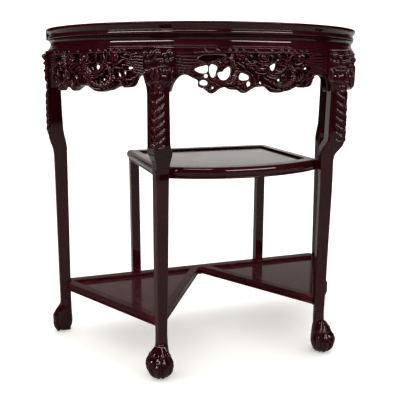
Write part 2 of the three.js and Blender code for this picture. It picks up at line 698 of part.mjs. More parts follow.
// triangular fields between the rails, left side first
const lerp = (p, q, t) => [p[0] + (q[0] - p[0]) * t, p[1] + (q[1] - p[1]) * t];
function offsetLine(p, q, o) {
  const d = [q[0] - p[0], q[1] - p[1]];
  const l = Math.hypot(d[0], d[1]);
  const n = [-d[1] / l, d[0] / l];
  return [
    [p[0] + n[0] * o, p[1] + n[1] * o],
    [q[0] + n[0] * o, q[1] + n[1] * o],
  ];
}
function cross(l1, l2) {
  const [p, q] = l1;
  const [r, s] = l2;
  const a1 = q[1] - p[1];
  const b1 = p[0] - q[0];
  const c1 = a1 * p[0] + b1 * p[1];
  const a2 = s[1] - r[1];
  const b2 = r[0] - s[0];
  const c2 = a2 * r[0] + b2 * r[1];
  const det = a1 * b2 - a2 * b1;
  return [(b2 * c1 - b1 * c2) / det, (a1 * c2 - a2 * c1) / det];
}
const RAIL_IN = 16;
const backLine = (o) => [
  [-500, BACK - 25 - o],
  [500, BACK - 25 - o],
];
// the left field: inner edges of back rail, side rail A-B and diagonal hub-B
function field(grow) {
  const back = backLine(-grow);
  const side = offsetLine(A, B, RAIL_IN - grow);
  const diag = offsetLine(HUB, B, -20 + grow);
  return [cross(back, side), cross(side, diag), cross(diag, back)];
}
const flipX = (pts) => pts.map(([x, y]) => [-x, y]).reverse();
const panelTop = LOW_Z - LOW_RECESS;
const fieldL = field(7.6);
const panelLeft = prism(fieldL, panelTop - 7, panelTop);
const panelRight = prism(flipX(fieldL), panelTop - 7, panelTop);
const grooveL = prism(field(8 + GAP), panelTop - 7 - GAP, panelTop + GAP);
const grooveR = prism(flipX(field(8 + GAP)), panelTop - 7 - GAP, panelTop + GAP);

const lowBack = (g) => block(-376, 376, BACK - 25, BACK, lowZ0, LOW_Z, g);
const sideRail = (s, g) => {
  const p = [s * -A[0], A[1]];
  const q = [s * -B[0], B[1]];
  return s < 0 ? beam(p, q, RAIL_IN, 6, lowZ0, LOW_Z, g) : beam(p, q, 6, RAIL_IN, lowZ0, LOW_Z, g);
};
const diagRail = (s, g) => {
  const q = [s * -B[0], B[1]];
  return s < 0 ? beam(HUB, q, 2, 20, lowZ0, LOW_Z, g) : beam(HUB, q, 20, 2, lowZ0, LOW_Z, g);
};
let lowBackRail = cut(lowBack(0), ...legG, grooveL, grooveR);
const lowSide = (s) =>
  largest(cut(sideRail(s, 0), ...legG, lowBack(GAP), s < 0 ? grooveL : grooveR));
const lowDiag = (s) =>
  largest(cut(diagRail(s, 0), ...legG, lowBack(GAP), sideRail(s, GAP), s < 0 ? grooveL : grooveR));
let sideL = lowSide(-1);
let sideR = lowSide(1);
let diagL = lowDiag(-1);
let diagR = lowDiag(1);
// short tenons: back rail into back legs, side rails into the front legs,
// diagonals into the back rail
const backTen = (g) => [block(-388, -370, BACK - 17.8, BACK - 12.6, lowZ0 + 5, LOW_Z - 5, g), block(370, 388, BACK - 17.8, BACK - 12.6, lowZ0 + 5, LOW_Z - 5, g)];
lowBackRail = join(lowBackRail, ...backTen(0));
const sideTen = (s, g) => {
  const p = [s * -A[0], A[1]];
  const q = [s * -B[0], B[1]];
  return [beam(lerp(p, q, 0.925), lerp(p, q, 0.985), s < 0 ? 7 : 1, s < 0 ? 1 : 7, lowZ0 + 5, LOW_Z - 5, g), beam(lerp(p, q, 0.012), lerp(p, q, 0.06), s < 0 ? 5 : 3, s < 0 ? 3 : 5, lowZ0 + 5, LOW_Z - 5, g)];
};
const diagTen = (s, g) => {
  const q = [s * -B[0], B[1]];
  return [
    beam(lerp(HUB, q, 0.93), lerp(HUB, q, 0.98), s < 0 ? 0 : 6, s < 0 ? 6 : 0, lowZ0 + 7, LOW_Z - 7, g),
    beam(lerp(HUB, q, 0.02), lerp(HUB, q, 0.075), s < 0 ? -4 : 12, s < 0 ? 12 : -4, lowZ0 + 6, LOW_Z - 6, g),
  ];
};
sideL = join(sideL, ...sideTen(-1, 0));
sideR = join(sideR, ...sideTen(1, 0));
diagL = join(diagL, ...diagTen(-1, 0));
diagR = join(diagR, ...diagTen(1, 0));
sideL = cut(sideL, ...diagTen(-1, GAP));
sideR = cut(sideR, ...diagTen(1, GAP));
for (const t of [...diagTen(-1, GAP), ...diagTen(1, GAP)]) lowBackRail = cut(lowBackRail, t);
for (const x of Object.values(POSTS)) lowBackRail = cut(lowBackRail, postTenon(x, GAP));
// battens under the lower panels
const lowBatten = (s) => {
  const x0 = s * 262 - 12;
  const inside = prism(s < 0 ? field(-GAP) : flipX(field(-GAP)), 100, 150);
  const bar = block(x0, x0 + 24, -400, 40, lowZ0 + 1, panelTop - 7 - GAP).intersect(inside);
  return bar;
};
add('lower_back_rail', largest(lowBackRail), WOOD);
add('lower_side_rail_left', largest(sideL), WOOD);
add('lower_side_rail_right', largest(sideR), WOOD);
add('lower_diagonal_rail_left', largest(diagL), WOOD);
add('lower_diagonal_rail_right', largest(diagR), WOOD);
const lowTrim = (s) => [...legG, ...backTen(GAP), ...sideTen(s, GAP), ...diagTen(s, GAP)];
add('lower_panel_left', largest(cut(panelLeft, ...lowTrim(-1))), PANEL);
add('lower_panel_right', largest(cut(panelRight, ...lowTrim(1))), PANEL);
add('lower_batten_left', lowBatten(-1), WOOD_PLAIN);
add('lower_batten_right', lowBatten(1), WOOD_PLAIN);

for (const [name, x] of Object.entries(POSTS)) {
  const body = loft(
    [
      [shelfZ0 - GAP, 0, h, h, 0, 10],
      [LOW_Z + GAP, 0, h, h, 0, 10],
    ],
    [x, POST_Y],
    0,
  );
  add(name, join(body, postTenon(x, 0)), WOOD);
}

// ------------------------------------------------------------ finish the legs
for (const [name, leg] of Object.entries(LEGS)) {
  let m = join(leg.shape(0), leg.pegs(0));
  const left = name.endsWith('left');
  const front = name.includes('front');
  if (front) {
    m = cut(m, tongueCut.intersect(sector(left ? 180 + LEG_A - 12 : 360 - LEG_A - 12, left ? 180 + LEG_A - 1.2 : 360 - LEG_A - 1.2, 600, 800)));
    m = cut(m, tongueCut.intersect(sector(left ? 180 + LEG_A + 1.2 : 360 - LEG_A + 1.2, left ? 180 + LEG_A + 12 : 360 - LEG_A + 12, 600, 800)));
    m = cut(m, legTenon(left ? -1 : 1, GAP), ...sideTen(left ? -1 : 1, GAP), ...diagTen(left ? -1 : 1, GAP));
  } else {
    m = cut(m, sideTenon(left ? -1 : 1, GAP), backApronTenon(GAP), ...backTen(GAP), ...sideTen(left ? -1 : 1, GAP));
  }
  add(name, m, WOOD);
}
for (const [name, a] of Object.entries(KEYS)) {
  add(name, beam(polar(388.2, a), polar(393.8, a), 5.6, 5.6, 738.4, WAIST_Z - GAP), WOOD_PLAIN);
}

export default group;
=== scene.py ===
import bpy
import math
import numpy as np
from mathutils import Matrix, Vector


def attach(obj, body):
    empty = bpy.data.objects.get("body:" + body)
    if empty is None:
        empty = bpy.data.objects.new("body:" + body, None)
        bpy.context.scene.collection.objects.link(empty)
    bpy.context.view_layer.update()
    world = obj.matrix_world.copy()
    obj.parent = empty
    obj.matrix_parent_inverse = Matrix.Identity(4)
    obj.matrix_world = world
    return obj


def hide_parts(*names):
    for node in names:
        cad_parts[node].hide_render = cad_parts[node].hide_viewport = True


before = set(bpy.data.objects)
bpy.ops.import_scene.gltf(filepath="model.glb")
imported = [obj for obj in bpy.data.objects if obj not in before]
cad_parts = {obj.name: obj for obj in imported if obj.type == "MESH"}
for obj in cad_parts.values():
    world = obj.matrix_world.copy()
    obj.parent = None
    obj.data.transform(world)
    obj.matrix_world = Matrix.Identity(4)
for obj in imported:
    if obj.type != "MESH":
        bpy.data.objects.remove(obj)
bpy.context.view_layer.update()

MM = 0.001
YC = 196.0  # the centre of the rim circle, in the frame, millimetres
BACK = 20.0  # back plane, from that centre
scene = bpy.context.scene
scene.view_settings.view_transform = "Standard"


# --------------------------------------------------------------------- meshes
def finish_object(name, me, mat, smooth=True):
    o = bpy.data.objects.new(name, me)
    scene.collection.objects.link(o)
    me.materials.append(mat)
    if smooth:
        me.polygons.foreach_set("use_smooth", np.ones(len(me.polygons), dtype=bool))
    return o


def quad_mesh(name, verts_mm, quads, mat, smooth=True):
    """verts_mm are measured from the rim centre on the floor."""
    v = np.asarray(verts_mm, dtype=np.float64).copy()
    v[:, 1] += YC
    v *= MM
    me = bpy.data.meshes.new(name)
    me.vertices.add(len(v))
    me.vertices.foreach_set("co", v.astype(np.float32).ravel())
    q = np.asarray(quads, dtype=np.int32)
    k = q.shape[1]
    me.loops.add(q.size)
    me.loops.foreach_set("vertex_index", q.ravel())
    me.polygons.add(len(q))
    me.polygons.foreach_set("loop_start", np.arange(0, q.size, k, dtype=np.int32))
    me.update(calc_edges=True)
    me.validate()
    return finish_object(name, me, mat, smooth)


def poly_mesh(name, verts_mm, faces, mat, smooth=True):
    me = bpy.data.meshes.new(name)
    me.from_pydata([(x * MM, (y + YC) * MM, z * MM) for x, y, z in verts_mm], [], [list(map(int, f)) for f in faces])
    me.validate()
    me.update()
    return finish_object(name, me, mat, smooth)


def tidy(o, merge=0.00002, angle=35.0):
    """Merges doubles, makes the faces point out and keeps crisp edges sharp."""
    import bmesh

    bm = bmesh.new()
    bm.from_mesh(o.data)
    bmesh.ops.remove_doubles(bm, verts=bm.verts, dist=merge)
    bmesh.ops.dissolve_degenerate(bm, edges=bm.edges, dist=merge * 0.5)
    bmesh.ops.recalc_face_normals(bm, faces=bm.faces)
    for e in bm.edges:
        if len(e.link_faces) == 2 and e.calc_face_angle(0.0) > math.radians(angle):
            e.smooth = False
    bm.to_mesh(o.data)
    bm.free()
    o.data.update()
    return o


def grid_solid(name, rows, mat, angle=35.0):
    """rows: closed profile loops, one per station, each the same number of points. Caps both ends."""
    rows = np.asarray(rows, dtype=float)
    n, k = rows.shape[:2]
    verts = rows.reshape(-1, 3)
    faces = []
    for i in range(n - 1):
        for j in range(k):
            a = i * k + j
            b = i * k + (j + 1) % k
            faces.append((a, b, b + k, a + k))
    faces.append(tuple(range(k - 1, -1, -1)))
    faces.append(tuple((n - 1) * k + j for j in range(k)))
    o = tidy(poly_mesh(name, verts, faces, mat), angle=angle)
    w = o.modifiers.new("even", "WEIGHTED_NORMAL")
    w.keep_sharp = True
    w.weight = 60
    return o


def place(o, slot, *nodes):
    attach(o, "root")
    if nodes:
        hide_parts(*nodes)
    return o


# ------------------------------------------------------------------ materials
def new_mat(name):
    m = bpy.data.materials.new(name)
    m.use_nodes = True
    nt = m.node_tree
    nt.nodes.clear()
    out = nt.nodes.new("ShaderNodeOutputMaterial")
    b = nt.nodes.new("ShaderNodeBsdfPrincipled")
    nt.links.new(b.outputs[0], out.inputs[0])
    return m, nt, b


def ramp(nt, stops, fac=None):
    r = nt.nodes.new("ShaderNodeValToRGB")
    e = r.color_ramp.elements
    while len(e) < len(stops):
        e.new(0.5)
    for el, (p, c) in zip(e, stops):
        el.position = p
        el.color = (*c, 1) if len(c) == 3 else c
    if fac is not None:
        nt.links.new(fac, r.inputs[0])
    return r


def lacquer(name, stretch, dark, mid, worn, rough=0.30, coat=0.16, coat_rough=0.04, wear=1.0, bump=0.10, spec=0.015,
            tint=(1.0, 0.12, 0.18)):
    """Dark red lacquer over open-grained hardwood, the grain running along the short side of stretch."""
    m, nt, b = new_mat(name)
    N, L = nt.nodes.new, nt.links.new
    tc = N("ShaderNodeTexCoord")
    mp = N("ShaderNodeMapping")
    mp.inputs["Scale"].default_value = stretch
    L(tc.outputs["Object"], mp.inputs[0])
    grain = N("ShaderNodeTexNoise")
    grain.inputs["Scale"].default_value = 1.0
    grain.inputs["Detail"].default_value = 6.0
    grain.inputs["Roughness"].default_value = 0.62
    grain.inputs["Distortion"].default_value = 0.4
    L(mp.outputs[0], grain.inputs["Vector"])
    cloud = N("ShaderNodeTexNoise")
    cloud.inputs["Scale"].default_value = 9.0
    cloud.inputs["Detail"].default_value = 2.0
    L(tc.outputs["Object"], cloud.inputs["Vector"])
    base = ramp(nt, [(0.30, dark), (0.52, mid), (0.74, dark)], grain.outputs["Fac"])
    tone = ramp(nt, [(0.35, (0.72, 0.72, 0.72)), (0.68, (1.25, 1.18, 1.18))], cloud.outputs["Fac"])
    mul = N("ShaderNodeMix")
    mul.data_type = "RGBA"
    mul.blend_type = "MULTIPLY"
    mul.inputs["Factor"].default_value = 1.0
    L(base.outputs[0], mul.inputs["A"])
    L(tone.outputs[0], mul.inputs["B"])
    geo = N("ShaderNodeNewGeometry")
    edge = ramp(nt, [(0.505, (0, 0, 0)), (0.60, (wear, wear, wear))], geo.outputs["Pointiness"])
    scuff = N("ShaderNodeTexNoise")
    scuff.inputs["Scale"].default_value = 60.0
    scuff.inputs["Detail"].default_value = 3.0
    L(tc.outputs["Object"], scuff.inputs["Vector"])
    sc = ramp(nt, [(0.35, (0.25, 0.25, 0.25)), (0.65, (1, 1, 1))], scuff.outputs["Fac"])
    em = N("ShaderNodeMath")
    em.operation = "MULTIPLY"
    L(edge.outputs[0], em.inputs[0])
    L(sc.outputs[0], em.inputs[1])
    mix = N("ShaderNodeMix")
    mix.data_type = "RGBA"
    L(em.outputs[0], mix.inputs["Factor"])
    L(mul.outputs["Result"], mix.inputs["A"])
    mix.inputs["B"].default_value = (*worn, 1)
    # painted shade: the base colour is multiplied down to about a third in concave spots (low pointiness), so the
    # creases and recesses of the carving read darker
    recess_shade = ramp(nt, [(0.40, (0.35, 0.35, 0.35)), (0.495, (1, 1, 1))], geo.outputs["Pointiness"])
    deep = N("ShaderNodeMix")
    deep.data_type = "RGBA"
    deep.blend_type = "MULTIPLY"
    deep.inputs["Factor"].default_value = 1.0
    L(mix.outputs["Result"], deep.inputs["A"])
    L(recess_shade.outputs[0], deep.inputs["B"])
    L(deep.outputs["Result"], b.inputs["Base Color"])
    rr = N("ShaderNodeMapRange")
    rr.inputs["From Min"].default_value = 0.3
    rr.inputs["From Max"].default_value = 0.7
    rr.inputs["To Min"].default_value = rough * 0.8
    rr.inputs["To Max"].default_value = rough * 1.35
    L(cloud.outputs["Fac"], rr.inputs["Value"])
    L(rr.outputs[0], b.inputs["Roughness"])
    b.inputs["IOR"].default_value = 1.38
    b.inputs["Specular IOR Level"].default_value = spec
    b.inputs["Specular Tint"].default_value = (*tint, 1)
    b.inputs["Coat Weight"].default_value = coat
    b.inputs["Coat Roughness"].default_value = coat_rough
    b.inputs["Coat IOR"].default_value = 1.6
    bp = N("ShaderNodeBump")
    bp.inputs["Strength"].default_value = bump
    bp.inputs["Distance"].default_value = 0.0006
    L(grain.outputs["Fac"], bp.inputs["Height"])
    L(bp.outputs[0], b.inputs["Normal"])
    cb = N("ShaderNodeBump")
    cb.inputs["Strength"].default_value = bump * 0.35
    cb.inputs["Distance"].default_value = 0.0005
    wav = N("ShaderNodeTexNoise")
    wav.inputs["Scale"].default_value = 45.0
    wav.inputs["Detail"].default_value = 1.0
    L(tc.outputs["Object"], wav.inputs["Vector"])
    L(wav.outputs["Fac"], cb.inputs["Height"])
    L(cb.outputs[0], b.inputs["Coat Normal"])
    return m


DARK = (0.0016, 0.0003, 0.0004)
MID = (0.0056, 0.0005, 0.0009)
WORN = (0.030, 0.0024, 0.0036)
WOOD_Z = lacquer("lacquer_upright", (260, 260, 16), DARK, MID, WORN)
WOOD_X = lacquer("lacquer_across", (16, 260, 260), DARK, MID, WORN)
WOOD_Y = lacquer("lacquer_deep", (260, 16, 260), DARK, MID, WORN)
LOW_X = lacquer("lacquer_low_across", (16, 260, 260), DARK, MID, WORN, coat=0.06, spec=0.01)
LOW_Y = lacquer("lacquer_low_deep", (260, 16, 260), DARK, MID, WORN, coat=0.06, spec=0.01)
EVEN_X = lacquer("lacquer_even_across", (16, 260, 260), DARK, MID, WORN, wear=0.2)
EVEN_Y = lacquer("lacquer_even_deep", (260, 16, 260), DARK, MID, WORN, wear=0.2)
WOOD_C = lacquer("lacquer_carved", (60, 60, 60), DARK, MID, WORN, rough=0.3, wear=1.0, bump=0.08)
WOOD_L = lacquer("lacquer_leg", (230, 230, 16), DARK, MID, WORN, rough=0.32, wear=1.0, bump=0.08)
PANEL = lacquer(
    "lacquer_panel", (14, 150, 150), (0.0020, 0.0007, 0.0009), (0.0042, 0.0014, 0.0016), (0.02, 0.005, 0.006),
    rough=0.12, coat=0.0, bump=0.02, spec=0.026, tint=(1.0, 0.97, 0.94),
)
# painted shade: a copy of the lacquer at half the colour, for the back apron seen through the piercings, so that the
# gaps behind the carving read dark
SHADE_PAINTED_WOOD = lacquer(
    "lacquer_shade", (16, 260, 260), tuple(0.5 * v for v in DARK), tuple(0.5 * v for v in MID), tuple(0.5 * v for v in WORN),
    coat=0.1, spec=0.2,
)
PLAIN = lacquer(
    "hidden_wood", (180, 14, 180), (0.055, 0.02, 0.013), (0.10, 0.042, 0.026), (0.14, 0.06, 0.04),
    rough=0.5, coat=0.0, bump=0.3, tint=(1.0, 1.0, 1.0),
)


def marble():
    m, nt, b = new_mat("marble_polished")
    N, L = nt.nodes.new, nt.links.new
    tc = N("ShaderNodeTexCoord")
    warp = N("ShaderNodeTexNoise")
    warp.inputs["Scale"].default_value = 4.0
    warp.inputs["Detail"].default_value = 5.0
    L(tc.outputs["Object"], warp.inputs["Vector"])
    add = N("ShaderNodeMix")
    add.data_type = "RGBA"
    add.blend_type = "LINEAR_LIGHT"
    add.inputs["Factor"].default_value = 0.35
    L(tc.outputs["Object"], add.inputs["A"])
    L(warp.outputs["Color"], add.inputs["B"])
    veins = []
    for scale, width, rot in ((5.0, 0.030, 0.5), (11.0, 0.018, 1.9)):
        mp = N("ShaderNodeMapping")
        mp.inputs["Rotation"].default_value = (0.0, 0.0, rot)
        mp.inputs["Scale"].default_value = (1.0, 2.3, 1.0)
        L(add.outputs["Result"], mp.inputs[0])
        n = N("ShaderNodeTexNoise")
        n.inputs["Scale"].default_value = scale
        n.inputs["Detail"].default_value = 7.0
        n.inputs["Roughness"].default_value = 0.55
        L(mp.outputs[0], n.inputs["Vector"])
        r = ramp(nt, [(0.5 - width * 2.2, (0, 0, 0)), (0.5, (1, 1, 1)), (0.5 + width, (0, 0, 0))], n.outputs["Fac"])
        veins.append(r)
    cl = N("ShaderNodeTexNoise")
    cl.inputs["Scale"].default_value = 3.2
    cl.inputs["Detail"].default_value = 6.0
    L(add.outputs["Result"], cl.inputs["Vector"])
    base = ramp(nt, [(0.30, (0.19, 0.18, 0.165)), (0.48, (0.32, 0.305, 0.28)), (0.70, (0.42, 0.40, 0.37))], cl.outputs["Fac"])
    last = base.outputs[0]
    for r, c, f in ((veins[0], (0.055, 0.053, 0.052), 0.8), (veins[1], (0.12, 0.095, 0.075), 0.6)):
        fm = N("ShaderNodeMath")
        fm.operation = "MULTIPLY"
        fm.inputs[1].default_value = f
        L(r.outputs[0], fm.inputs[0])
        mx = N("ShaderNodeMix")
        mx.data_type = "RGBA"
        L(fm.outputs[0], mx.inputs["Factor"])
        L(last, mx.inputs["A"])
        mx.inputs["B"].default_value = (*c, 1)
        last = mx.outputs["Result"]
    L(last, b.inputs["Base Color"])
    b.inputs["Roughness"].default_value = 0.16
    b.inputs["Subsurface Weight"].default_value = 0.0
    b.inputs["IOR"].default_value = 1.52
    bp = N("ShaderNodeBump")
    bp.inputs["Strength"].default_value = 0.05
    bp.inputs["Distance"].default_value = 0.0004
    L(veins[0].outputs[0], bp.inputs["Height"])
    L(bp.outputs[0], b.inputs["Normal"])
    return m


MARBLE = marble()


# ---------------------------------------------------------------- plan helpers
def polar(r, deg):
    a = math.radians(deg)
    return (r * math.cos(a), r * math.sin(a))


def rounded(profile, radii, n=4):
    """Rounds the corners of a closed profile of 2D points."""
    pts = []
    m = len(profile)
    for i, (p, r) in enumerate(zip(profile, radii)):
        p = np.array(p, float)
        a = np.array(profile[i - 1], float) - p
        c = np.array(profile[(i + 1) % m], float) - p
        la, lc = np.hypot(*a), np.hypot(*c)
        if r <= 0 or la < 1e-6 or lc < 1e-6:
            pts.append(tuple(p))
            continue
        a /= la
        c /= lc
        r = min(r, la * 0.49, lc * 0.49)
        for k in range(n + 1):
            t = k / n
            q = p + a * r * (1 - t) ** 2 + c * r * t * t
            pts.append(tuple(q))
    return pts


# ------------------------------------------------------------------- top frame
HEIGHT = 800.0
FRAME = [
    (346.0, 773.3, 0.5), (399.2, 773.3, 0.6), (401.2, 774.3, 0.9), (403.0, 776.6, 1.4), (403.2, 779.0, 1.6),
    (402.2, 781.4, 1.8), (400.3, 783.0, 1.2), (399.6, 784.4, 0.6), (401.6, 788.0, 2.0), (404.0, 791.4, 2.0), (405.9, 794.8, 1.6),
    (405.9, 798.6, 0.7), (405.0, 799.9, 0.5), (357.0, 799.9, 0.8), (356.2, 798.8, 0.4), (356.2, 782.2, 0.3),
    (346.0, 782.0, 0.5),
]
frame_profile = rounded([(r, z) for r, z, _ in FRAME], [q for _, _, q in FRAME], 3)
SEAM_L, SEAM_R = 180 + 58 - 7, 360 - 58 + 7
MITRE = 60.0 / 61.8


def mitre_angle(r, side, shift):
    """Angle at which a circle of radius r meets the mitre line at the back corner."""
    lo, hi = -14.0, 12.0  # degrees above the X axis
    for _ in range(50):
        a = (lo + hi) / 2
        x, y = r * math.cos(math.radians(a)), r * math.sin(math.radians(a))
        if y < -40 + (x - 343.7) * MITRE - shift:
            lo = a
        else:
            hi = a
    y = r * math.sin(math.radians(lo))
    if y > BACK:
        lo = math.degrees(math.asin(BACK / r))
    return 360 + lo if side > 0 else 180 - lo


def arc_member(name, mat, profile, a0, a1, step=0.8, slot="lacquered_wood", angle=30.0):
    """a0 and a1 are angles, or functions of the radius."""
    f0 = a0 if callable(a0) else (lambda r: a0)
    f1 = a1 if callable(a1) else (lambda r: a1)
    n = max(2, int(abs(f1(400) - f0(400)) / step) + 1)
    rows = []
    for i in range(n):
        t = i / (n - 1)
        row = []
        for r, z in profile:
            a = f0(r) + (f1(r) - f0(r)) * t
            x, y = polar(r, a)
            row.append((x, y, z))
        rows.append(row)
    return place(grid_solid(name, rows, mat, angle), slot, name.replace("v_", ""))


G = 0.022
arc_member("v_top_frame_front", EVEN_X, frame_profile, SEAM_L + G, SEAM_R - G)
arc_member("v_top_frame_left", EVEN_Y, frame_profile, lambda r: mitre_angle(r, -1, 0.2), SEAM_L - G)
arc_member("v_top_frame_right", EVEN_Y, frame_profile, SEAM_R + G, lambda r: mitre_angle(r, 1, 0.2))

back_profile = rounded(
    [(-39.8, 773.3), (19.7, 773.3), (19.7, 799.9), (-29.2, 799.9), (-29.8, 799.0), (-29.8, 782.2), (-39.8, 782.0)],
    [0.5, 0.8, 0.9, 0.8, 0.4, 0.3, 0.5],
    3,
)
rows = []
for sx in np.linspace(-1, 1, 25):
    rows.append([(sx * (343.7 + (y + 40) / MITRE - 0.4 + (0.3 if y > 0 else 0)), y, z) for y, z in back_profile])
rows = [[(max(-405.2, min(405.2, x)), y, z) for x, y, z in row] for row in rows]
place(grid_solid("v_top_frame_back", rows, EVEN_X), "lacquered_wood", "top_frame_back")


def half_disc(name, mat, r, yback, z0, z1, edge, n=150):
    """A half-moon slab with a softened top edge, its flat side at yback."""
    def outline(inset):
        rr = r - inset
        a = math.degrees(math.asin((-yback + inset) / rr))
        pts = [polar(rr, 180 + a + (180 - 2 * a) * i / n) for i in range(n + 1)]
        return pts
    loops = [(edge, z0), (0.0, z0 + edge)]
    for k in range(5):
        t = k / 4 * math.pi / 2
        loops.append((edge * (1 - math.cos(t)), z1 - edge + edge * math.sin(t)))
    rows = [[(x, y, z) for x, y in outline(i)] for i, z in loops]
    return grid_solid(name, rows, mat)


place(half_disc("v_marble_slab", MARBLE, 355.5, -30.5, 782.3, 799.7, 0.8), "marble", "marble_slab")

# ---------------------------------------------------------------------- waist
WAIST = [
    (372.0, 747.4, 0.5), (403.6, 747.4, 0.5), (404.4, 748.6, 0.5), (404.2, 750.2, 0.6), (402.8, 751.2, 0.4),
    (401.6, 751.8, 0.3), (400.4, 754.4, 1.4), (398.4, 757.8, 1.8), (397.2, 761.2, 1.8), (397.1, 764.4, 1.8),
    (398.2, 767.4, 1.6), (400.2, 769.8, 1.0), (401.6, 770.8, 0.4), (402.4, 771.2, 0.3), (402.5, 772.6, 0.3),
    (372.0, 772.6, 0.5),
]
waist_profile = rounded([(r, z) for r, z, _ in WAIST], [q for _, _, q in WAIST], 3)


def waist_end(r, side):
    y = BACK - 22.4
    a = math.degrees(math.asin(y / r))
    return 360 + a if side > 0 else 180 - a


arc_member("v_waist_front", EVEN_X, waist_profile, 238 + G, 302 - G)
arc_member("v_waist_left", EVEN_Y, waist_profile, lambda r: waist_end(r, -1), 238 - G)
arc_member("v_waist_right", EVEN_Y, waist_profile, 302 + G, lambda r: waist_end(r, 1))


def box_rows(x0, x1, y0, y1, z0, z1, axis, soft=1.0, n=2):
    """Closed loops of a softly edged bar along axis x or y."""
    rows = []
    if axis == "x":
        prof = rounded([(y0, z0), (y1, z0), (y1, z1), (y0, z1)], [soft] * 4, 3)
        for i in range(n):
            x = x0 + (x1 - x0) * i / (n - 1)
            rows.append([(x, y, z) for y, z in prof])
    else:
        prof = rounded([(x0, z0), (x1, z0), (x1, z1), (x0, z1)], [soft] * 4, 3)
        for i in range(n):
            y = y0 + (y1 - y0) * i / (n - 1)
            rows.append([(x, y, z) for x, z in prof])
    return rows


place(
    grid_solid("v_waist_back", box_rows(-379, 379, BACK - 21.8, BACK - 2.2, 747.5, 772.6, "x"), EVEN_X),
    "lacquered_wood", "waist_back",
)

# --------------------------------------------------------------- middle shelf
SX, SR = 207.5, 364.0
SZ1, SZ0 = 489.3, 463.0
DEEP = 7.5  # the front and back rails are this much wider than the side rails
# edge moulding, inset from the outline and height: a bullnose over a small fillet
SHELF_EDGE = [(26.5, 484.6, 0.0), (26.5, 489.2, 0.8)]
for k in range(15):
    t = math.radians(90 - 152 * k / 14)
    SHELF_EDGE.append((9.6 - 9.5 * math.cos(t), 477.7 + 11.5 * math.sin(t), 0.0))
SHELF_EDGE += [
    (5.2, 466.6, 0.3), (3.9, 466.0, 0.5), (3.9, 464.3, 0.6), (5.3, 463.1, 0.5), (26.5, 463.1, 0.6), (26.5, 476.0, 0.0),
    (18.3, 476.0, 0.0), (18.3, 484.6, 0.0),
]
shelf_profile = rounded([(d, z) for d, z, _ in SHELF_EDGE], [q for _, _, q in SHELF_EDGE], 3)


def deep(d):
    return d + (DEEP if d > 14 else 0.0)


def corner(d, t, sx):
    """Point of the rounded back corner at inset d, t from 0 (side) to 1 (back), measured to the mitre at 0.5."""
    c = 12.0
    k = max(0.0, c - d)
    cx, cy = SX - max(c, d), BACK - max(c, deep(d))
    a = t * math.pi / 2
    return (sx * (cx + k * math.cos(a)), cy + k * math.sin(a))


IN_C = np.array([SX - 26.5, -math.sqrt((SR - 34.0) ** 2 - (SX - 26.5) ** 2)])  # inner front corner of the frame
LEG_C = np.array([191.5, -316.5])  # inner corner of the front leg
MDIR = (LEG_C - IN_C) / np.linalg.norm(LEG_C - IN_C)


def mitre_x(x):
    return IN_C[1] + (x - IN_C[0]) * MDIR[1] / MDIR[0]


def front_angle(d):
    """Angle where the circle at inset d meets the front mitre line, right side."""
    r = SR - deep(d)
    lo, hi = 270.0, 330.0
    for _ in range(50):
        a = (lo + hi) / 2
        x, y = polar(r, a)
        if y < mitre_x(x):
            lo = a
        else:
            hi = a
    return lo


def shelf_rail_front():
    n = 81
    rows = []
    for i in range(n):
        t = i / (n - 1)
        row = []
        for d, z in shelf_profile:
            a = front_angle(d) - 0.03
            x, y = polar(SR - deep(d), 540 - a + (2 * a - 540) * t)
            row.append((x, y, z))
        rows.append(row)
    return grid_solid("v_shelf_front_rail", rows, WOOD_X)


def shelf_rail_side(sx, name):
    rows = []
    for i in range(5):
        row = []
        for d, z in shelf_profile:
            x, y = corner(d, 0.5 * (1 - i / 4) - (0.004 if i == 0 else 0), sx)
            row.append((x, y, z))
        rows.append(row)
    for i in range(1, 22):
        row = []
        for d, z in shelf_profile:
            x = SX - d
            y0 = BACK - max(12.0, deep(d))
            y1 = max(-324.0, mitre_x(x) + 0.2)
            row.append((sx * x, y0 + (y1 - y0) * i / 21, z))
        rows.append(row)
    return grid_solid(name, rows, WOOD_Y)


def shelf_rail_back():
    rows = []
    for i in range(5):
        rows.append([(*corner(d, 0.5 + 0.5 * i / 4 + (0.004 if i == 0 else 0), -1), z) for d, z in shelf_profile])
    for i in range(1, 12):
        row = []
        for d, z in shelf_profile:
            x = SX - max(12.0, d)
            row.append((-x + 2 * x * i / 11, BACK - deep(d), z))
        rows.append(row)
    for i in range(1, 5):
        rows.append([(*corner(d, 1 - 0.5 * i / 4 + (0.004 if i == 4 else 0), 1), z) for d, z in shelf_profile])
    return grid_solid("v_shelf_back_rail", rows, WOOD_X)


place(shelf_rail_front(), "lacquered_wood", "shelf_front_rail")
place(shelf_rail_side(-1, "v_shelf_rail_left"), "lacquered_wood", "shelf_rail_left")
place(shelf_rail_side(1, "v_shelf_rail_right"), "lacquered_wood", "shelf_rail_right")
place(shelf_rail_back(), "lacquered_wood", "shelf_back_rail")


def flat_panel(name, outline, z0, z1, mat, edge=0.7):
    """A thin panel over a convex outline, with eased edges and an even top."""
    o = np.array(outline, float)
    c = o.mean(axis=0)
    loops = [(0.0, z0), (0.0, z1 - edge), (edge * 0.3, z1 - edge * 0.3), (edge, z1)]
    rows = []
    for inset, z in loops:
        v = o - c
        l = np.linalg.norm(v, axis=1, keepdims=True)
        q = c + v * (1 - inset / l)
        rows.append([(x, y, z) for x, y in q])
    return grid_solid(name, rows, mat)


def shelf_inner(grow):
    xi = SX - 26.5 + grow
    ri = SR - 34 + grow
    ym = -math.sqrt(ri * ri - xi * xi)
    a = math.degrees(math.atan2(ym, xi)) + 360
    pts = [(-xi, BACK - 34 + grow)]
    pts += [polar(ri, 540 - a + (2 * a - 540) * i / 60) for i in range(61)]
    pts += [(xi, BACK - 34 + grow)]
    return pts


place(flat_panel("v_shelf_panel", shelf_inner(7.2), 476.5, 484.2, PANEL), "polished_panel", "shelf_panel")


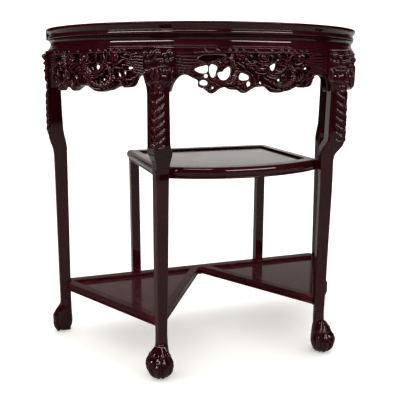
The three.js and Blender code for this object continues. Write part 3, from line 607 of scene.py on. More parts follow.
# ---------------------------------------------------------------- lower shelf
LZ1, LZ0 = 139.0, 117.0
AX = {"A": (-388.0, 2.0), "B": polar(389, 238), "C": polar(389, 302), "D": (388.0, 2.0)}
HUB = (0.0, 9.0)


def rail_profile(width_out, width_in, groove=True):
    """(offset to the outer side, height) of a lower rail: eased top, a small bead low on the outer face."""
    w0, w1 = width_out, -width_in
    p = [
        (w0 - 0.9, 138.9, 0.5), (w0, 137.6, 0.5), (w0, 125.4, 0.6), (w0 - 1.6, 124.2, 0.4), (w0 - 1.6, 122.9, 0.4),
        (w0 + 0.0, 121.7, 0.9), (w0 + 0.0, 118.6, 0.9), (w0 - 1.2, 117.1, 0.5), (w1, 117.1, 0.6),
    ]
    if groove:
        p += [(w1, 122.7, 0.0), (w1 + 7.7, 122.7, 0.0), (w1 + 7.7, 130.3, 0.0), (w1, 130.3, 0.0)]
    p += [(w1, 137.9, 0.6), (w1 + 1.0, 138.9, 0.5)]
    return rounded([(a, b) for a, b, _ in p], [q for _, _, q in p], 2)


def line_at(p, q, o):
    d = np.subtract(q, p)
    d = d / np.linalg.norm(d)
    n = np.array([-d[1], d[0]])
    return np.array(p, float) + n * o, d


def lower_rail(name, p, q, profile, flip, ends, mat):
    """A straight rail from p to q. flip puts the profile's outer side on the right. ends(offset point, direction, end)
    gives the distance along the rail where it stops."""
    rows = []
    for i in range(13):
        t = i / 12
        row = []
        for off, z in profile:
            o, d = line_at(p, q, -off if flip else off)
            s0, s1 = ends(o, d, 0), ends(o, d, 1)
            w = o + d * (s0 + (s1 - s0) * t)
            row.append((w[0], w[1], z))
        rows.append(row)
    return grid_solid(name, rows, mat)


def leg_stop(axis, half, turn, o, d, side, pad=0.0):
    """Distance along o + s d where the line meets a leg's square section."""
    c, s = math.cos(math.radians(turn)), math.sin(math.radians(turn))
    rel = np.array(o) - np.array(axis)
    lo = np.array([c * rel[0] + s * rel[1], -s * rel[0] + c * rel[1]])
    ld = np.array([c * d[0] + s * d[1], -s * d[0] + c * d[1]])
    best = []
    for k in range(2):
        if abs(ld[k]) < 1e-9:
            continue
        for w in (-half, half):
            s_ = (w - lo[k]) / ld[k]
            other = lo[1 - k] + ld[1 - k] * s_
            if abs(other) <= half + 0.01:
                best.append(s_)
    if not best:
        return -float(rel @ d)
    return (max(best) - pad) if side == 0 else (min(best) + pad)


def y_stop(o, d, y):
    return (y - o[1]) / d[1]


for sgn, nm in ((-1, "left"), (1, "right")):
    b = (sgn * 206.1, AX["C"][1])
    a = (sgn * 388.0, 2.0)
    turn = 238 + 45 if sgn < 0 else 302 + 45
    side = lambda o, d, e, a=a, b=b, turn=turn: (
        leg_stop(a, 14.5, 0, o, d, 0, 5.0) if e == 0 else leg_stop(b, 13.9, turn, o, d, 1, 6.0)
    )
    place(
        lower_rail("v_lower_side_rail_" + nm, a, b, rail_profile(6.0, 16.0), sgn < 0, side, LOW_Y),
        "lacquered_wood", "lower_side_rail_" + nm,
    )
    # the diagonals stop at the back rail's face and at the leg or the side rail's inner face
    a2, d2 = line_at(a, b, 0)

    def diag(o, d, e, a=a, b=b, turn=turn, sgn=sgn):
        if e == 0:
            return y_stop(o, d, BACK - 25.3 + 0.1)
        s_leg = leg_stop(b, 13.9, turn, o, d, 1, 6.0)
        # meet the side rail's inner face
        p0, dd = line_at(a, b, 16.3 if sgn < 0 else -16.3)
        m = np.array([[d[0], -dd[0]], [d[1], -dd[1]]])
        s_side = np.linalg.solve(m, p0 - o)[0]
        return min(s_leg, s_side) if s_side > 0 else s_leg

    place(
        lower_rail("v_lower_diagonal_rail_" + nm, HUB, b, rail_profile(2.0, 20.0), sgn > 0, diag, LOW_Y),
        "lacquered_wood", "lower_diagonal_rail_" + nm,
    )

bp = rail_profile(0.0, 25.0)
back_rows = []
for i in range(33):
    x = -373.6 + 747.2 * i / 32
    # outer side is the back plane
    back_rows.append([(x, BACK + off, z) for off, z in bp])
place(grid_solid("v_lower_back_rail", back_rows, LOW_X), "lacquered_wood", "lower_back_rail")


def cross_lines(p1, d1, p2, d2):
    m = np.array([[d1[0], -d2[0]], [d1[1], -d2[1]]])
    s = np.linalg.solve(m, np.subtract(p2, p1))[0]
    return np.array(p1) + np.array(d1) * s


for sgn, nm in ((-1, "left"), (1, "right")):
    a, b = np.array([-388.0, 2.0]), np.array([-206.1, AX["C"][1]])
    g = 6.6
    ps, ds = line_at(a, b, 16 - g)
    pd, dd = line_at(HUB, b, -20 + g)
    pb, db = np.array([-500.0, BACK - 25 + g]), np.array([1.0, 0.0])
    tri = [cross_lines(pb, db, ps, ds), cross_lines(ps, ds, pd, dd), cross_lines(pd, dd, pb, db)]
    # the sharp front corner is stopped short of the leg
    f = tri[1]
    u0, u1 = tri[0] - f, tri[2] - f
    u0, u1 = u0 / np.linalg.norm(u0), u1 / np.linalg.norm(u1)
    outline = [tri[0], f + u0 * 26, f + u1 * 26, tri[2]]
    outline[0] = outline[0] + np.array([4.0, 0.0])
    if sgn > 0:
        outline = [np.array([-p[0], p[1]]) for p in outline]
    place(
        flat_panel("v_lower_panel_" + nm, outline, 123.2, 130.0, PANEL, 0.5),
        "polished_panel", "lower_panel_" + nm,
    )

# ---------------------------------------------------------------------- posts
for sgn, nm in ((-1, "left"), (1, "right")):
    prof = rounded([(-11.9, -11.9), (11.9, -11.9), (11.9, 11.9), (-11.9, 11.9)], [1.8] * 4, 4)
    rows = [[(sgn * 188.4 + x, 7.8 + y, z) for x, y in prof] for z in np.linspace(139.0, 463.3, 22)]
    place(grid_solid("v_shelf_post_" + nm, rows, WOOD_Z), "lacquered_wood", "shelf_post_" + nm)

# ------------------------------------------------------------------ sculpting
def surface_nets(f, ax):
    """Vertices and quads of the zero surface of f, which is negative inside, on the grid with axes ax."""
    nx, ny, nz = f.shape
    s = f < 0
    cnt = np.zeros((nx - 1, ny - 1, nz - 1), np.uint8)
    for a in (0, 1):
        for b in (0, 1):
            for c in (0, 1):
                cnt += s[a:nx - 1 + a, b:ny - 1 + b, c:nz - 1 + c]
    act = (cnt > 0) & (cnt < 8)
    ci = np.argwhere(act)
    idx = np.full(cnt.shape, -1, np.int64)
    idx[act] = np.arange(len(ci))
    i, j, k = ci[:, 0], ci[:, 1], ci[:, 2]
    off = [(a, b, c) for a in (0, 1) for b in (0, 1) for c in (0, 1)]
    val = {o: f[i + o[0], j + o[1], k + o[2]] for o in off}
    pos = np.zeros((len(ci), 3))
    w = np.zeros(len(ci))
    for o in off:
        for d in range(3):
            if o[d]:
                continue
            e = tuple(1 if t == d else o[t] for t in range(3))
            va, vb = val[o], val[e]
            m = (va < 0) != (vb < 0)
            t = va[m] / (va[m] - vb[m])
            p = np.tile(np.array(o, float), (m.sum(), 1))
            p[:, d] = t
            pos[m] += p
            w[m] += 1
    pos /= w[:, None]
    v = np.empty_like(pos)
    for d in range(3):
        a = np.asarray(ax[d], float)
        q = ci[:, d]
        v[:, d] = a[q] + pos[:, d] * (a[q + 1] - a[q])
    quads = []
    # edges along each axis, with the four cells round them
    for d in range(3):
        e1, e2 = [(1, 2), (2, 0), (0, 1)][d]
        sl0 = [slice(None)] * 3
        sl1 = [slice(None)] * 3
        sl0[d] = slice(0, -1)
        sl1[d] = slice(1, None)
        for t in (e1, e2):
            sl0[t] = slice(1, -1)
            sl1[t] = slice(1, -1)
        a, b = s[tuple(sl0)], s[tuple(sl1)]
        for out, m in ((True, a & ~b), (False, ~a & b)):
            g = np.argwhere(m)
            g[:, e1] += 1
            g[:, e2] += 1
            cells = []
            for o1, o2 in ((-1, -1), (0, -1), (0, 0), (-1, 0)):
                h = g.copy()
                h[:, e1] += o1
                h[:, e2] += o2
                cells.append(idx[h[:, 0], h[:, 1], h[:, 2]])
            q = np.stack(cells, 1)
            quads.append(q if out else q[:, ::-1])
    return v, np.concatenate(quads)


def keep_largest(v, q):
    """Drops loose crumbs: only the largest connected surface stays."""
    a = np.concatenate([q[:, 0], q[:, 1], q[:, 2]])
    b = np.concatenate([q[:, 1], q[:, 2], q[:, 3]])
    lab = np.arange(len(v))
    while True:
        m = np.minimum(lab[a], lab[b])
        new = lab.copy()
        np.minimum.at(new, a, m)
        np.minimum.at(new, b, m)
        new = new[new]
        new = new[new]
        if (new == lab).all():
            break
        lab = new
    ids, cnt = np.unique(lab, return_counts=True)
    best = ids[np.argmax(cnt)]
    keep = lab == best
    remap = np.cumsum(keep) - 1
    qk = keep[q[:, 0]]
    return v[keep], remap[q[qk]]


def relax(v, q, times=1, amount=0.5):
    """Evens out the grid's steps without shrinking much."""
    a = np.concatenate([q[:, 0], q[:, 1], q[:, 2], q[:, 3]])
    b = np.concatenate([q[:, 1], q[:, 2], q[:, 3], q[:, 0]])
    n = len(v)
    deg = np.bincount(a, minlength=n) + np.bincount(b, minlength=n)
    for k in range(times):
        for f in (amount, -amount * 0.95):
            avg = np.empty_like(v)
            for d in range(3):
                avg[:, d] = np.bincount(a, v[b, d], n) + np.bincount(b, v[a, d], n)
            avg /= deg[:, None]
            v = v + (avg - v) * f
    return v


def smin(a, b, k):
    h = np.maximum(k - np.abs(a - b), 0.0) / k
    return np.minimum(a, b) - h * h * k * 0.25


def smax(a, b, k):
    h = np.maximum(k - np.abs(a - b), 0.0) / k
    return np.maximum(a, b) + h * h * k * 0.25


def spline(pts, step=1.6, closed=False):
    """Points along a smooth curve through pts, each a tuple of any length."""
    p = np.array(pts, float)
    if len(p) < 3:
        n = max(2, int(np.linalg.norm(p[-1, :2] - p[0, :2]) / step) + 1)
        return np.array([p[0] + (p[-1] - p[0]) * i / (n - 1) for i in range(n)])
    if closed:
        p = np.vstack([p[-1], p, p[0], p[1]])
    else:
        p = np.vstack([2 * p[0] - p[1], p, 2 * p[-1] - p[-2]])
    out = []
    for i in range(1, len(p) - 2):
        a, b, c, d = p[i - 1], p[i], p[i + 1], p[i + 2]
        n = max(2, int(np.linalg.norm(c[:3] - b[:3]) / step) + 1)
        for k in range(n):
            t = k / n
            out.append(
                0.5 * (2 * b + (c - a) * t + (2 * a - 5 * b + 4 * c - d) * t * t + (3 * b - 3 * c + d - a) * t ** 3)
            )
    if not closed:
        out.append(p[-2])
    return np.array(out)


def spiral(cx, cz, r0, r1, a0, turns, *rest):
    """Points of a curl that winds in from r0 to r1, starting at angle a0 in degrees."""
    n = max(6, int(abs(turns) * 9))
    pts = []
    for i in range(n + 1):
        t = i / n
        a = math.radians(a0 + 360 * turns * t)
        r = r0 + (r1 - r0) * t
        pts.append((cx + r * math.cos(a), cz + r * math.sin(a), *rest))
    return pts


def polygon_distance(poly, U, Z):
    """Signed distance from a closed outline, negative inside."""
    d2 = np.full(U.shape, 1e9)
    inside = np.zeros(U.shape, bool)
    n = len(poly)
    for i in range(n):
        x0, z0 = poly[i]
        x1, z1 = poly[(i + 1) % n]
        dx, dz = x1 - x0, z1 - z0
        l2 = dx * dx + dz * dz
        if l2 < 1e-12:
            continue
        t = np.clip(((U - x0) * dx + (Z - z0) * dz) / l2, 0, 1)
        d2 = np.minimum(d2, (U - x0 - t * dx) ** 2 + (Z - z0 - t * dz) ** 2)
        if z0 != z1:
            c = (z0 > Z) != (z1 > Z)
            inside ^= c & (U < x0 + (Z - z0) * dx / dz)
    d = np.sqrt(d2)
    return np.where(inside, -d, d)


class Relief:
    """Carving as a height over a plane, in the design's own coordinates U, Z."""

    def __init__(self, U, Z, ground):
        self.U, self.Z = U, Z
        self.H = np.full(U.shape, float(ground))

    def window(self, u0, u1, z0, z1):
        m = (self.U >= u0) & (self.U <= u1) & (self.Z >= z0) & (self.Z <= z1)
        if not m.any():
            return None
        r = np.where(m.any(1))[0]
        c = np.where(m.any(0))[0]
        return (slice(r[0], r[-1] + 1), slice(c[0], c[-1] + 1))

    def tube(self, pts, r=None, top=None, flat=1.0, gap=1.3, deep=2.6, scales=None, rib=None, step=1.6):
        """A rounded strand. pts hold (u, z) or (u, z, r, top)."""
        pts = [tuple(p) if len(p) == 4 else (p[0], p[1], r, top) for p in pts]
        c = spline(pts, step)
        rm = c[:, 2].max() + gap + 0.5
        w = self.window(c[:, 0].min() - rm, c[:, 0].max() + rm, c[:, 1].min() - rm, c[:, 1].max() + rm)
        if w is None:
            return
        U, Z = self.U[w], self.Z[w]
        best = np.full(U.shape, 1e9)
        D = np.zeros(U.shape)
        R = np.ones(U.shape)
        T = np.zeros(U.shape)
        S = np.zeros(U.shape)
        X = np.zeros(U.shape)
        arc = 0.0
        for a, b in zip(c[:-1], c[1:]):
            dx, dz = b[0] - a[0], b[1] - a[1]
            l = math.hypot(dx, dz)
            if l < 1e-9:
                continue
            t = np.clip(((U - a[0]) * dx + (Z - a[1]) * dz) / (l * l), 0, 1)
            d = np.hypot(U - a[0] - t * dx, Z - a[1] - t * dz)
            rr = a[2] + (b[2] - a[2]) * t
            k = d - rr
            m = k < best
            best[m] = k[m]
            D[m] = d[m]
            R[m] = rr[m]
            T[m] = (a[3] + (b[3] - a[3]) * t)[m]
            S[m] = (arc + l * t)[m]
            X[m] = (((U - a[0]) * dz - (Z - a[1]) * dx) / l)[m]
            arc += l
        H = self.H[w]
        q = np.clip(D / R, 0, 1)
        h = T - R * (1 - np.sqrt(1 - q * q)) * flat
        low = T - R * flat
        ring = (best >= 0) & (best < gap)
        cutl = low - deep * (1 - best / gap)
        H[ring] = np.minimum(H[ring], np.maximum(cutl[ring], 6.0))
        ins = best < 0
        if scales:
            ps, nc, amp = scales
            row = np.floor(S / ps)
            fc = (X / R * nc + 0.5 * (row % 2)) % 1.0 - 0.5
            v = (S / ps + 0.55 * (2 * fc) ** 2) % 1.0
            h = h + amp * (v - 0.5) * (1 - q ** 6)
        if rib:
            pitch, amp = rib
            h = h - amp * np.abs(np.cos(np.pi * S / pitch)) ** 5
        H[ins] = np.maximum(H[ins], h[ins])
        self.H[w] = H

    def dome(self, u, z, ru, rz, top, flat=1.0, rot=0.0, gap=1.3, deep=2.6):
        rm = max(ru, rz) + gap + 0.5
        w = self.window(u - rm, u + rm, z - rm, z + rm)
        if w is None:
            return
        c, s = math.cos(math.radians(rot)), math.sin(math.radians(rot))
        x = (self.U[w] - u) * c + (self.Z[w] - z) * s
        y = -(self.U[w] - u) * s + (self.Z[w] - z) * c
        q = np.hypot(x / ru, y / rz)
        r = min(ru, rz)
        best = (q - 1) * r
        H = self.H[w]
        ring = (best >= 0) & (best < gap)
        low = top - r * flat
        cutl = low - deep * (1 - best / gap)
        H[ring] = np.minimum(H[ring], np.maximum(cutl[ring], 6.0))
        ins = q < 1
        h = top - r * flat * (1 - np.sqrt(np.clip(1 - q * q, 0, 1)))
        H[ins] = np.maximum(H[ins], h[ins])
        self.H[w] = H

    def pit(self, pts, r, depth):
        """A gouged line."""
        c = spline([tuple(p) for p in pts], 1.6)
        rm = r + 0.5
        w = self.window(c[:, 0].min() - rm, c[:, 0].max() + rm, c[:, 1].min() - rm, c[:, 1].max() + rm)
        if w is None:
            return
        U, Z = self.U[w], self.Z[w]
        d = np.full(U.shape, 1e9)
        for a, b in zip(c[:-1], c[1:]):
            dx, dz = b[0] - a[0], b[1] - a[1]
            l2 = dx * dx + dz * dz
            t = np.clip(((U - a[0]) * dx + (Z - a[1]) * dz) / l2, 0, 1)
            d = np.minimum(d, np.hypot(U - a[0] - t * dx, Z - a[1] - t * dz))
        self.H[w] -= depth * np.clip(1 - d / r, 0, 1) ** 0.8


# -------------------------------------------------------------------- aprons
EDGE = [
    (-285, 600), (-285, 652), (-200, 652), (-196, 666), (-192, 675), (-184, 685), (-175, 691), (-165, 692),
    (-157, 688), (-149, 684), (-141, 681), (-139.5, 676), (-141.5, 671), (-137, 665.5), (-128, 663.5), (-121, 657),
    (-114, 652.5), (-107, 652.5), (-101, 657), (-93, 663), (-84, 666), (-78, 665), (-71, 660.5), (-53, 660.5),
    (-48, 656), (-42, 653.5), (-35, 653.5), (-28, 658), (-20, 663), (-12, 666), (9, 667.5), (16, 664), (24, 657),
    (32, 653.5), (50, 653.5), (58, 656), (72, 657.5), (82, 662), (92, 665.5), (100, 667.5), (103, 666), (105, 663.5),
    (122, 664), (131, 666), (137, 672), (141, 680), (145, 687), (153, 690.5), (165, 692), (178, 690),
    (188, 683), (194, 674), (198, 664), (200, 652), (285, 652), (285, 600),
]
HOLES = [
    [(-149, 702.5), (-138, 707), (-124, 710), (-119, 711), (-118.5, 701), (-121, 696.5), (-130, 694.8), (-140, 697.5)],
    [(-143, 724.5), (-134, 729), (-127, 732), (-100, 732.6), (-76, 732), (-84, 727.5), (-97, 725), (-105, 721.5),
     (-114, 719), (-126, 719.5), (-135, 722)],
    [(-127.5, 689), (-124, 693), (-119.5, 692), (-119, 687), (-124, 685)],
    [(-137, 675), (-133, 680), (-124, 680), (-119, 675), (-121, 670.5), (-132, 670)],
    [(-115, 709), (-110, 714), (-97, 708), (-100, 700.5), (-102, 694), (-104, 688.5), (-107.5, 685.5), (-112, 689),
     (-115, 697)],
    [(-98, 694), (-94, 697), (-86, 697), (-83.5, 702), (-78, 705.5), (-72, 709), (-69, 703), (-69, 694),
     (-73, 686), (-79, 681.5), (-86, 681), (-93, 684)],
    [(-52, 687), (-46, 696), (-39, 694), (-27, 690), (-25, 684), (-29, 681), (-47, 680.5)],
    [(-34, 671), (-31, 677), (-27, 678), (-22, 675), (-22, 669), (-30, 667)],
    [(-110.5, 665), (-108, 667.5), (-105.5, 665), (-108, 662.5)],
    [(-30, 722), (-29, 732), (-20, 732), (-20, 722), (-24, 718)],
    [(-4, 676), (-1, 678), (3.5, 675.5), (5, 672.5), (0, 672.5)],
    [(16, 722), (17, 731), (27, 733), (32, 729), (32, 722), (24, 719)],
    [(19.5, 709), (30, 713.5), (35, 716), (40, 715), (38.5, 708), (35.5, 702), (29, 699), (25, 701.5)],
    [(41, 680.5), (44, 684), (50, 684), (53, 680), (49, 676.5), (43, 677)],
    [(44, 715), (46, 723), (46, 732), (55, 732), (53, 724), (49, 716)],
    [(57.5, 691), (59, 697), (62.5, 698), (64, 693), (61.5, 689.5)],
    [(87, 687), (87, 697), (90, 700), (96, 693), (98, 687.5)],
    [(100.5, 692), (99.5, 699), (104, 701), (110, 696), (111, 690), (105, 689)],
    [(112, 705), (117, 707.5), (135, 706), (128, 703.5), (116, 703)],
    [(98, 731), (103, 733.5), (115, 733), (129, 729.8), (122, 727.5), (106, 726.5)],
    [(107, 674), (112, 677), (117, 675), (115, 670.5), (109, 670)],
]
SIDE_WARP = [
    (-285, -268), (-212, -195), (-149, -134), (-117, -108), (-100, -91), (-70, -60), (-38, -33), (-10, 6), (2, 20),
    (20, 39), (53, 74), (87, 107), (103, 126), (120, 138), (141, 158), (153, 170), (212, 212), (285, 285),
]


def chaikin(poly, times=2):
    p = np.array(poly, float)
    for _ in range(times):
        q = np.roll(p, -1, axis=0)
        p = np.stack([p * 0.75 + q * 0.25, p * 0.25 + q * 0.75], 1).reshape(-1, 2)
    return p


def grow_outline(poly, amount):
    """Moves a closed outline outwards a little, to make up for the corners that smoothing takes away."""
    p = np.array(poly, float)
    area2 = np.sum(p[:, 0] * np.roll(p[:, 1], -1) - np.roll(p[:, 0], -1) * p[:, 1])
    t = np.roll(p, -1, axis=0) - np.roll(p, 1, axis=0)
    n = np.stack([t[:, 1], -t[:, 0]], 1) / (np.linalg.norm(t, axis=1, keepdims=True) + 1e-9)
    return p + n * (amount if area2 > 0 else -amount)


def dragon_relief(U, Z):
    """The apron's carving: height H over the back plane, and G, the signed distance of the pierced silhouette."""
    go = -polygon_distance(chaikin(EDGE, 2), U, Z)  # negative where there is wood
    gh = np.full(U.shape, -50.0)
    rel = Relief(U, Z, 12.0)
    for h in HOLES:
        hp = chaikin(grow_outline(h, 0.5), 2)
        w = rel.window(hp[:, 0].min() - 9, hp[:, 0].max() + 9, hp[:, 1].min() - 9, hp[:, 1].max() + 9)
        if w is None:
            continue
        gh[w] = np.maximum(gh[w], -polygon_distance(hp, U[w], Z[w]))
    # ground: slightly uneven, hollowed
    rel.H += 0.5 * np.sin(U * 0.21 + 1.0) * np.cos(Z * 0.27)
    # streaming strands at both ends, out of the leg blocks
    for sgn, u0 in ((-1, 128.0), (1, 118.0)):
        a = np.clip((sgn * U - u0) / 12.0, 0, 1)
        rel.H = rel.H * (1 - a) + (14.6 + 1.4 * np.sin((Z - 680) / 17.0)) * a
    t = rel.tube
    d = rel.dome
    # bottom rim, a plain rounded band
    rim = np.clip(1 - np.abs(-go - 3.4) / 3.4, 0, 1)
    rimh = 12.0 + 5.2 * np.sqrt(np.clip(1 - (1 - rim) ** 2, 0, 1))
    m = (-go < 6.8) & (Z < 700)
    rel.H[m] = np.maximum(rel.H[m], rimh[m])
    for k in range(9):
        f = k / 8
        z1 = 694.5 + 46.5 * f
        dip = 3.2 * math.sin(f * 3.0 + 0.4)
        t([(-216, z1 + 1.5, 2.5, 18.4), (-198, z1 + 1.0, 2.6, 19.2), (-180, z1 - dip * 0.4, 2.7, 19.8),
           (-162, z1 - dip * 0.9, 2.6, 19.8), (-146, z1 - dip * 0.6 + (2.5 if f < 0.3 else 0.0), 2.2, 19.0),
           (-132, 700 + 37.0 * f, 1.4, 17.2)],
          gap=0.6, deep=1.2)
        t([(216, z1 + 1.0, 2.5, 18.4), (198, z1 + 0.6, 2.6, 19.2), (180, z1 - dip * 0.5, 2.7, 19.8),
           (162, z1 - dip * 0.9, 2.6, 19.8), (144, z1 - dip * 0.4 + (1.5 if f < 0.3 else 0.0), 2.3, 19.2),
           (126, 701 + 34.0 * f, 1.7, 18.0), (112, 703 + 28.0 * f, 1.1, 16.8)],
          gap=0.6, deep=1.2)
    # left end: crescents and curling tails
    t([(-152, 700.5), (-140, 694.5), (-129, 692), (-121, 694)], 2.3, 19)
    t([(-150, 704), (-138, 709.5), (-126, 712.5), (-118, 714)], 2.1, 19)
    t([(-141, 683.5, 2.4, 19), (-133, 684, 2.6, 19), (-123, 682.5, 2.8, 20), (-114, 678, 2.8, 20), (-104, 672.5, 2.6, 20),
       (-93, 669, 2.4, 19), (-82, 668.5, 1.8, 18)])
    t([(-118, 714, 1.9, 20), (-117, 703, 2.0, 20), (-114.5, 692, 2.4, 20.5), (-108, 682, 2.8, 21), (-98, 677, 3.3, 22),
       (-88, 674, 4.2, 22.5), (-78, 673, 5.0, 23), (-68, 673, 4.4, 22), (-60, 669, 3.0, 21)], rib=None)
    t([(-141, 681, 2.0, 18), (-142.5, 673, 2.2, 19), (-138, 667, 2.2, 19.5), (-128, 665.5, 2.2, 19.5), (-119.5, 668.5, 2.2, 20),
       (-116, 674, 2.0, 20)])
    t(spiral(-108, 665, 8.5, 3.6, 200, 1.15, 2.0, 20.5))
    t([(-127, 664), (-120, 658.5), (-111, 655.5), (-103, 658.5), (-96, 664.5)], 2.4, 19.5)
    t([(-120, 712), (-113, 718), (-105, 716.5), (-97, 711.5), (-93, 706)], 2.2, 20.5)
    t([(-104, 719, 2.2, 20), (-98, 721.5, 3.0, 22), (-94, 716, 3.6, 23.5), (-91, 708, 3.4, 23), (-90, 702, 3.2, 22)])
    d(-90.5, 701, 4.6, 4.3, 23.5)
    t([(-101, 699, 1.9, 18), (-96, 700, 2.0, 19), (-92, 700, 2.0, 19)])
    d(-80.5, 717, 5.0, 4.4, 24.5)
    t([(-84, 722, 2.4, 21), (-80, 728, 3.0, 23), (-75, 727, 3.0, 23.5), (-72, 721, 3.0, 23), (-67, 719, 2.6, 22)])
    t([(-86, 711, 2.2, 20), (-80, 709.5, 2.6, 21), (-74, 712, 2.6, 21)])
    # neck of the left beast, with scales
    t([(-66, 735, 5.5, 21), (-69, 725, 6.2, 23), (-66, 714, 7.0, 24), (-61.5, 703, 7.2, 24.5), (-60.5, 692, 7.0, 24),
       (-63, 682, 6.4, 23), (-68, 674, 5.0, 22)], scales=(4.6, 1.5, 2.4))
    for u, z, r in ((-66, 705, 2.4), (-56, 704, 2.6), (-63, 697, 2.3), (-54.5, 697, 2.4), (-62, 689, 2.2), (-55, 690, 2.2), (-59, 711, 2.3)):
        d(u, z, r, r, 25.2, gap=0.9, deep=1.4)
    t([(-50, 703, 2.0, 20), (-52, 694, 2.2, 21), (-53, 685, 2.2, 21), (-58, 677, 2.4, 21.5), (-66, 671, 2.4, 21)])
    # its head, a swirl round the eye
    d(-48, 727, 13, 9.5, 21.5, 0.7)
    t(spiral(-50, 729, 8.6, 5.2, -20, 1.1, 1.9, 23.5))
    d(-51, 730, 3.4, 3.2, 25.3)
    t([(-60, 736, 2.2, 21), (-52, 739, 2.6, 22), (-42, 737.5, 3.0, 23), (-34, 733, 3.2, 23.5), (-33, 724, 3.0, 23), (-38, 717, 2.8, 22.5)])
    d(-38.5, 722, 3.8, 4.6, 24.5)
    d(-34.5, 713, 4.2, 3.6, 24)
    d(-45, 716, 4.4, 3.4, 23)
    t([(-56, 716, 2.2, 21), (-48, 711, 2.5, 22), (-42, 706, 2.5, 22), (-38, 700, 2.2, 21)])
    t([(-62, 740, 1.6, 19), (-58, 733, 1.8, 20.5), (-58, 725, 1.8, 21)])
    # streamers from the head to the middle
    t([(-47, 700, 2.0, 19), (-38, 697.5, 2.4, 21), (-29, 694, 2.6, 21), (-22, 688, 2.4, 21), (-18, 680, 2.0, 20), (-19, 672, 1.8, 19)])
    t([(-33, 708, 1.8, 20), (-24, 705, 2.2, 21.5), (-16, 699, 2.4, 22), (-10, 691, 2.2, 21.5), (-9, 683, 1.8, 20)])
    t([(-40, 678.5, 1.8, 19), (-36, 670, 2.2, 20), (-30, 664, 2.4, 20), (-21, 665, 2.0, 19), (-16, 671, 1.6, 18.5)])
    t([(-44, 678, 2.0, 19), (-41, 668, 2.2, 20), (-36, 660, 2.2, 19.5)])
    t([(-60, 667, 2.6, 19.5), (-52, 664.5, 2.8, 20), (-46, 668, 2.6, 20.5), (-43, 675, 2.2, 20)])
    d(-52, 672.5, 5.2, 3.8, 21.5, rot=20)
    # pearl in its ring
    d(2, 728.5, 14.2, 11.6, 20.5, 0.28)
    t([(2 + 12.2 * math.cos(a), 728 + 10.2 * math.sin(a)) for a in np.linspace(0.0, 2 * math.pi, 15)], 1.9, 22.5)
    d(2, 728, 7.6, 6.8, 25.6, 0.85)
    t([(-13, 719, 2.0, 20), (-19, 716, 2.4, 21), (-26, 714.5, 2.4, 21), (-31, 717, 2.0, 20.5)])
    t([(15, 719.5, 2.0, 20), (22, 716.8, 2.4, 21), (30, 717.8, 2.6, 22), (36, 722, 3.0, 23.5), (38, 729, 3.0, 24), (36, 735, 2.2, 22)])
    for u, z, r in ((-9, 715.5, 3.2), (-2, 713.5, 3.4), (5.5, 713.8, 3.2), (12, 714.5, 2.8), (-15.5, 711.5, 2.6)):
        d(u, z, r, r * 0.85, 22.5)
    # the great head, facing left
    d(0, 700.5, 16.5, 9.0, 22.0, 0.62, rot=-12)
    d(-13.5, 706, 4.4, 3.8, 24.4)
    d(-9.5, 700.5, 4.2, 2.8, 23.6, rot=-20)
    t([(-16, 697, 1.9, 21), (-8, 694.5, 2.4, 22.5), (2, 693.5, 2.6, 22.5), (11, 695, 2.4, 22)])
    t([(-4, 709, 1.7, 23), (3, 711, 2.2, 25), (11, 709.5, 2.4, 25), (17, 704.5, 2.0, 23.5)])
    d(6.5, 704.8, 3.3, 2.8, 25.6, gap=1.2, deep=2.4)
    d(13.5, 700, 3.2, 4.2, 23.5, rot=25)
    rel.pit([(-15, 699.5), (-7, 697.4), (3, 696.8), (10, 698.4)], 1.5, 3.0)
    t([(-14, 709, 1.3, 22), (-22, 711.5, 1.6, 21.5), (-30, 709, 1.6, 21), (-36, 704, 1.2, 20)])
    # mane, swept to the right
    t([(14, 706, 2.6, 22.5), (21, 697.5, 3.2, 22.5), (31, 695.5, 3.6, 22.5), (43, 697.5, 3.6, 22.5), (53, 704, 3.2, 22), (59, 712, 2.6, 21.5), (62, 719, 1.8, 21)], flat=0.9)
    t([(12, 698, 2.4, 21.5), (22, 690.5, 3.0, 22), (34, 688.4, 3.4, 22), (46, 689.6, 3.2, 21.8), (55, 693, 2.6, 21.5), (60, 700, 2.2, 21), (66, 706, 1.8, 20.5)], flat=0.9)
    t([(8, 691, 2.0, 21), (17, 686, 2.6, 21.5), (27, 684, 2.8, 21.5), (36, 684.5, 2.4, 21), (41, 687, 1.6, 20)], flat=0.9)
    t([(2, 688, 1.8, 20.5), (8, 682.5, 2.2, 21), (16, 679.5, 2.4, 21), (26, 679, 2.0, 20.5)])
    rel.pit([(18, 700), (30, 697), (42, 699), (52, 705.5)], 1.1, 1.4)
    rel.pit([(16, 693.5), (32, 690.5), (46, 692)], 1.1, 1.4)
    t([(41, 712.5, 2.0, 20), (48, 711.5, 2.4, 21), (54, 709.5, 2.4, 21)])
    d(57.5, 717.5, 5.0, 6.4, 22.8, rot=-15)
    t([(58, 736, 1.8, 20), (60, 728, 2.2, 21.5), (63, 721, 2.6, 22), (70, 716, 2.6, 22), (79, 715.5, 2.2, 21)])
